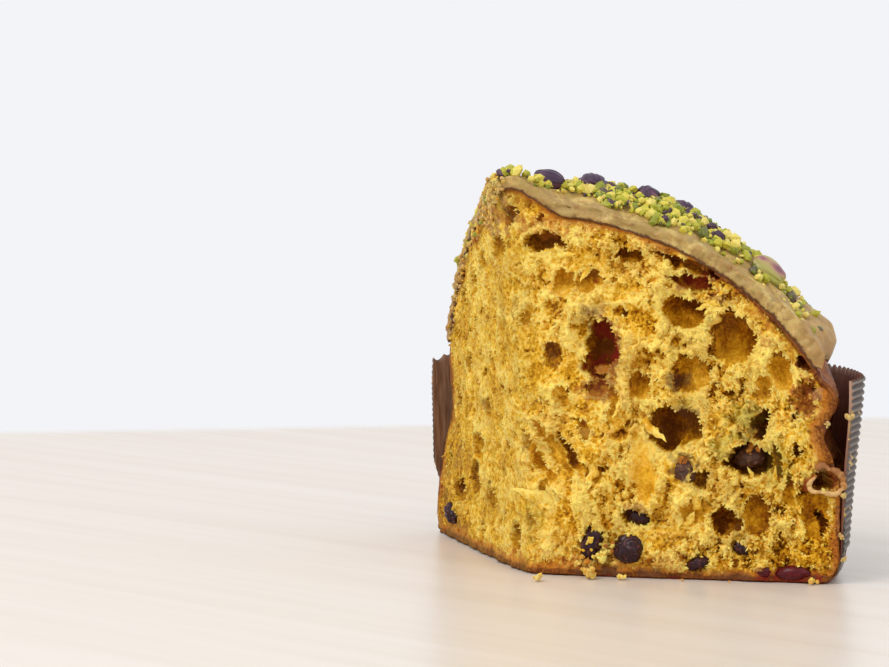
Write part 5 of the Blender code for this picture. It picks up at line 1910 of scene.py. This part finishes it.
# %% Raisins and cherries
# Name, side, along the face, height and how far out, half sizes in mm, tilt in degrees.
FRUIT = (
    ("raisin_round", 1, 33.9, 9.2, 0.6, 4.9, 4.2, 5, 0),
    ("raisin_long", 1, 21.6, 11, -0.4, 3.6, 3.4, 6.4, 12),
    ("raisin_upper", 1, 36.6, 19.6, -3.6, 4.4, 3, 2.8, 20),
    ("raisin_flat", 1, 56.4, 5.4, -0.6, 4, 2.8, 2.1, -24),
    ("raisin_small", 1, 70.6, 10.9, -0.8, 3.1, 2.4, 2.5, 0),
    ("raisin_cave", 1, 72, 39.4, -6.2, 5, 3.6, 3.9, -10),
    ("raisin_lump", 1, 51.6, 34.6, -1.6, 4, 3.4, 4, 20),
    ("cherry_strip", 1, 86.6, 3.2, -0.4, 6.4, 2.7, 2.5, -4),
    ("cherry_dot", 1, 77.6, 3.4, -0.4, 3, 2.4, 2.2, 0),
    ("raisin_side_low", -1, 85, 9, -0.6, 4.2, 3.2, 3.6, 30),
)


def raisin_finish(name, light, dark, rough):
    """Glossy dried skin: a dark colour mixed by noise with a lighter one where it is worn and
    dusty.
    """
    material, shader, wire = new_finish(name, rough, Specular_IOR_Level=0.28)
    worn = wire.grain(1.6 * MM, 4, 0.6).step(0.5, 0.75)
    wrinkles = bumped(wire.grain(0.9 * MM, 3, 0.5), 0.4, 0.2 * MM)
    plug(shader, Base_Color=worn.mix(dark, light), Roughness=worn * 0.35 + rough, Normal=wrinkles)
    return material


FRUIT_SKINS = {
    "raisin": raisin_finish("raisin_skin", (0.14, 0.030, 0.026), (0.024, 0.004, 0.007), 0.24),
    "baked_raisin": raisin_finish(
        "baked_raisin_skin", (0.24, 0.12, 0.065), (0.07, 0.028, 0.016), 0.5
    ),
    "cherry": raisin_finish("cherry_skin", (0.23, 0.007, 0.013), (0.085, 0.003, 0.007), 0.25),
}
BAKED_RAISINS = ("raisin_lump", "raisin_cave")
# Size and strength of the folds of each kind.
CREASES = {"raisin": (0.55, 1), "cherry": (0.8, 0.4)}


def build_fruit(number, name, side, along, height, out, half_x, half_y, half_z, tilt):
    """Half sizes times the ball, less deep folds: the absolute value of noise has creases."""
    ball, faces = ball_grid()
    along_m, height_m = np.array(side * along * MM), np.array(height * MM)
    centre = cut_place(along_m, height_m, out * MM)
    turn = math.radians(tilt)
    to_right, inward = (RIGHT, -RIGHT_OUT) if side > 0 else (-LEFT, -LEFT_OUT)
    first = to_right * math.cos(turn) - UP * math.sin(turn)
    axes = np.stack((first, inward, np.cross(first, inward)))
    shift = np.array((number * 2.3, 1, 0))
    fruit = name.split("_")[0]
    size, strength = CREASES[fruit]
    creases = strength * np.abs(noise(ball + shift, size, 15))
    swell = 1 - 0.28 * (0.35 - creases) + 0.12 * noise(ball + shift, 1.1, 16)
    half = np.array((half_x, half_y, half_z)) * MM
    points = centre + (ball * half * swell[:, None]) @ axes
    skin = FRUIT_SKINS["baked_raisin" if name in BAKED_RAISINS else fruit]
    piece = make_piece(name + "_skin", points, faces, skin)
    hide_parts(name)


for number, row in enumerate(FRUIT):
    build_fruit(number, *row)

# %% [markdown]
# The case is corrugated paper: small flutes run round it one above the other, and its top edge
# is pinked. The section is one profile of waves carried round from cut to cut. The end at the
# right hugs the bread, and the one at the left stands a little proud of it, as a loose flap.

# %% Paper case
FLUTE_PITCH, FLUTE_DEPTH = 2.2 * MM, 0.8 * MM
FLUTE_STEPS = 6
TOOTH_STEPS = 6
TEETH = 56
TOOTH_DEPTH = 1.8 * MM
FLAP_DEG, FLAP_SLOPE_Z = 0.3, 55 * MM
TUCK_DEG, TUCK_Z = 1.5, (14 * MM, 27 * MM)
FLAP_SAG, FLAP_SAG_FROM = 3.4 * MM, 0.955
BELLY_OUT, BELLY_Z, BELLY_SPAN, BELLY_SPAN_DEG = 1.6 * MM, 58 * MM, 20 * MM, 12
PAPER_FLOOR_RINGS = 10
MARKS_ROUND, MARK_ROW, MARK_TOP = 17, 15.4 * MM, 60 * MM


def paper_end_deg(height):
    """Direction of the paper's left end: a flap past the cut, tucked behind the crumb low down.

    Its top corner slopes back.
    """
    flap = FLAP_DEG * (1 - smooth_step(height, FLAP_SLOPE_Z, PAPER_HEIGHT + 2 * MM))
    return LEFT_CUT_DEG + flap - TUCK_DEG * (1 - smooth_step(height, *TUCK_Z))


def paper_ring(share, radius, height):
    """Points round the case at a radius and height, from the right cut to the left end."""
    share, radius, height = np.broadcast_arrays(share, radius, height)
    direction = RIGHT_CUT_DEG + (paper_end_deg(height) - RIGHT_CUT_DEG) * share
    turn = np.radians(direction)
    near_wall = smooth_step(radius, 0.85 * PAPER_BASE_RADIUS, 0.96 * PAPER_BASE_RADIUS)
    belly = BELLY_OUT * bell(height, BELLY_Z, BELLY_SPAN)
    belly = belly * bell(direction, RIGHT_CUT_DEG, BELLY_SPAN_DEG)
    away = radius + (paper_sway(direction, height) + belly) * near_wall
    right = cut_line(away) - RIGHT * away[..., None]
    left = cut_line(-away) - LEFT * away[..., None]
    shift = right * (1 - share[..., None]) + left * share[..., None]
    sag = FLAP_SAG * smooth_step(share, FLAP_SAG_FROM, 1)
    sag = sag * smooth_step(height, 0.5 * PAPER_HEIGHT, PAPER_HEIGHT)
    return stacked(np.cos(turn) * away, np.sin(turn) * away, height - sag) + shift


def paper_finish():
    """Brown-grey card, browner inside, with small gold diamonds in rows round the outside.

    The flutes' crests carry a painted highlight and their grooves painted shade, and the lining by
    the right cut is painted dark red as shade.
    """
    material, shader, wire = new_finish("fluted_paper", 0.5, Specular_IOR_Level=0.2)
    fibre = wire.grain(2.5 * MM, 4, 0.6, (1, 1, 4))
    colour = fibre.step(0.3, 0.75).mix((0.056, 0.038, 0.028), (0.118, 0.088, 0.069))
    inside = wire.value_of("inside")
    upright = wire.grain(1.1 * MM, 2, 0.5, (1, 1, 0.06))
    lining = upright.step(0.3, 0.7).mix((0.13, 0.058, 0.029), (0.25, 0.135, 0.080))
    # Painted shade: the lining turns dark red towards the right cut, where it faces the gap by the
    # crust.
    lining = wire.value_of("deep").mix(lining, (0.17, 0.018, 0.005))
    # Painted highlight on the flutes' crests and painted shade in their grooves.
    colour = wire.value_of("groove").step(0, 0.5).mix((0.22, 0.185, 0.155), colour)
    colour = (wire.value_of("groove").step(0.5, 1) * 0.6).mix(colour, (0.020, 0.015, 0.012))
    colour = inside.mix(colour, lining)
    colour = wire.value_of("cut").mix(colour, (0.42, 0.25, 0.17))
    gold = wire.value_of("gold").step(0.35, 0.65)
    colour = gold.mix(colour, (0.62, 0.40, 0.13))
    plug(shader, Base_Color=colour, Metallic=gold * 0.7, Normal=bumped(fibre, 0.25, 0.15 * MM))
    return material


def gold_marks(share, height):
    """Rows of diamonds in turn with dots: gold where |x| + |y| in a cell is under a size."""
    across, up = share * MARKS_ROUND, height / MARK_ROW
    row = np.floor(up)
    cell = np.abs((across + 0.5 * (row % 2)) % 1 - 0.5) * 2
    level = np.abs(up % 1 - 0.5) * 2
    size = np.where(row % 2 == 0, 0.34, 0.16)
    return held(0.5 + (size - cell - level * 0.8) * 8) * (height < MARK_TOP)


def corner_ring(share, base, corner, turn, lift=0):
    """A quarter circle in the paper's section, from its wall at a radius to its floor."""
    radius = base - corner + corner * np.cos(turn)
    return paper_ring(share, radius, lift + corner - corner * np.sin(turn))


def paper_profile():
    """Outer waves, foot, underside, floor and inner wall as one closed profile carried round."""
    teeth = TEETH * TOOTH_STEPS + 1
    share = np.linspace(0, 1, teeth)[None, :]
    flutes = int((PAPER_HEIGHT - 1.5 * PAPER_CORNER) / FLUTE_PITCH)
    fall = np.linspace(0, flutes * FLUTE_PITCH, flutes * FLUTE_STEPS + 1)[:, None]
    tooth = np.abs((np.arange(teeth) % TOOTH_STEPS) / TOOTH_STEPS - 0.5)[None, :] * 2
    height = PAPER_HEIGHT - fall
    notch = TOOTH_DEPTH * (1 - tooth) * held(1 - fall / (0.6 * FLUTE_PITCH))
    wave = 0.5 - 0.5 * np.cos(2 * math.pi * fall / FLUTE_PITCH)
    wall = paper_radius(height) + PAPER_WALL + FLUTE_DEPTH * wave
    outer = paper_ring(share, wall, height - notch)
    corner = PAPER_CORNER + PAPER_FLOOR
    base = paper_radius(0) + PAPER_WALL
    foot = corner_ring(share, base, corner, np.radians(np.linspace(8, 90, 9))[:, None])
    rings = np.linspace(0, 1, PAPER_FLOOR_RINGS)[:, None]
    under = paper_ring(share, (base - corner) * rings[::-1][1:], 0)
    inner_base = paper_radius(PAPER_FLOOR)
    over = paper_ring(share, (inner_base - PAPER_CORNER) * rings[:-1], PAPER_FLOOR)
    inner_turn = np.radians(np.linspace(90, 0, 7))[:, None]
    inner_foot = corner_ring(share, inner_base, PAPER_CORNER, inner_turn, PAPER_FLOOR)
    climb = np.linspace(0, 1, 24)[1:, None]
    low = PAPER_FLOOR + PAPER_CORNER
    inner_height = low + (PAPER_HEIGHT - PAPER_FLOOR - PAPER_CORNER) * climb
    inner_notch = TOOTH_DEPTH * (1 - tooth) * held((climb - 0.97) / 0.03)
    inner = paper_ring(share, paper_radius(inner_height), inner_height - inner_notch)
    loop = np.concatenate((outer, foot, under, over, inner_foot, inner))
    return loop, len(outer) + len(foot) + len(under)


def build_paper():
    """The profile's loop, closed on itself, with its two ends filled, and what its finish reads."""
    loop, outside = paper_profile()
    number, height = numbered(loop), loop[..., 2]
    faces = np.concatenate((grid_quads(number), grid_quads(number[[-1, 0]]))).tolist()
    faces += [number[:, 0].tolist(), number[::-1, -1].tolist()]
    inside = np.zeros(number.shape)
    inside[outside:] = 1
    inside = np.maximum(inside, 1 - smooth_step(height, 0.5 * MM, 2.5 * MM))
    share = np.broadcast_to(np.linspace(0, 1, number.shape[1])[None, :], number.shape)
    wave = 0.5 + 0.5 * np.cos(2 * math.pi * (PAPER_HEIGHT - height) / FLUTE_PITCH)
    paler = 1 - 0.3 * smooth_step(height, 46 * MM, 64 * MM)
    cut = smooth_step(height, 16 * MM, 34 * MM)
    cut = cut * (0.4 + 0.6 * smooth_step(height, 44 * MM, 58 * MM)) * (share < 1e-6)
    values = {
        "inside": inside,
        "gold": gold_marks(share, height) * (1 - inside) * (height > 8 * MM),
        # Where the painted highlight and shade of the flutes fall.
        "groove": wave * (1 - inside) * (height > 1.5 * PAPER_CORNER),
        # Painted shade on the lining near the right cut, less of it near the rim.
        "deep": (1 - smooth_step(share, 0.1, 0.35)) * paler,
        "cut": cut,
    }
    piece = make_piece("paper_flutes", loop, faces, paper_finish(), values)
    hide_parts("paper_case")


build_paper()

# %% [markdown]
# A plain pale floor, one big soft light from above and to the left, and a weaker one from the
# right, as in a photographer's tent.

# %% Floor and light
FLOOR_HALF = 3
FLOOR_FADE = (0.402, 0.432)
HORIZON_TILT = 0.157
WORLD_COLOUR, WORLD_STRENGTH = (0.925, 0.93, 0.96, 1), 0.97
CAMERA_TURN = math.radians(CAMERA_TURN_DEG)
TO_RIGHT = np.array((math.cos(CAMERA_TURN), math.sin(CAMERA_TURN), 0))
AWAY = np.array((-TO_RIGHT[1], TO_RIGHT[0], 0))


def floor_finish():
    """Pale wood, faintly streaked, which fades into the background 0.4 m behind the loaf."""
    material, shader, wire = new_finish("floor", 0.32, Specular_IOR_Level=0.5)
    turned = {0: wire.place(), "Scale": (3, 90, 1), "Rotation": (0, 0, -CAMERA_TURN)}
    placed = wire.node("ShaderNodeMapping", None, turned)
    streaks = wire.node("ShaderNodeTexNoise", None, {"Vector": placed, "Scale": 1, "Detail": 4})
    colour = (streaks.step(0.3, 0.75) * 0.7).mix((0.77, 0.70, 0.62), (0.71, 0.62, 0.52))
    measured = {0: wire.place(), 1: tuple(AWAY - TO_RIGHT * HORIZON_TILT)}
    behind = wire.node("ShaderNodeVectorMath", {"operation": "DOT_PRODUCT"}, measured, out=1)
    plug(shader, Base_Color=colour, Alpha=1 - behind.step(*FLOOR_FADE))
    return material


def flat_floor():
    """One large square, kept out of the part."""
    mesh = bpy.data.meshes.new("floor")
    corners = [(x * FLOOR_HALF, y * FLOOR_HALF, 0) for x, y in ((-1, -1), (1, -1), (1, 1), (-1, 1))]
    mesh.from_pydata(corners, [], [(0, 1, 2, 3)])
    mesh.materials.append(floor_finish())
    floor = bpy.data.objects.new("floor", mesh)
    bpy.context.scene.collection.objects.link(floor)


def soft_light(name, place, size, watts, colour):
    """A square light at a place, turned to the loaf's middle."""
    light = bpy.data.lights.new(name, "AREA")
    light.size, light.energy, light.color = size, watts, colour
    lamp = bpy.data.objects.new(name, light)
    lamp.location = place
    towards = np.array((0, 0, 0.06)) - np.array(place)
    turn = math.atan2(-towards[0], towards[1])
    tilt = math.acos(-towards[2] / np.linalg.norm(towards))
    lamp.rotation_euler = (tilt, 0, turn)
    bpy.context.scene.collection.objects.link(lamp)


flat_floor()
soft_light("key", -TO_RIGHT * 0.9 - AWAY * 0.7 + UP * 1.2, 0.9, 10, (1, 0.97, 0.93))
soft_light("fill", TO_RIGHT * 1.2 - AWAY * 0.8 + UP * 0.7, 1.2, 2.5, (0.95, 0.97, 1))
world = bpy.data.worlds.new("world")
world.use_nodes = True
background = world.node_tree.nodes["Background"]
background.inputs[0].default_value = WORLD_COLOUR
background.inputs[1].default_value = WORLD_STRENGTH
bpy.context.scene.world = world
bpy.context.scene.view_settings.view_transform = "Standard"
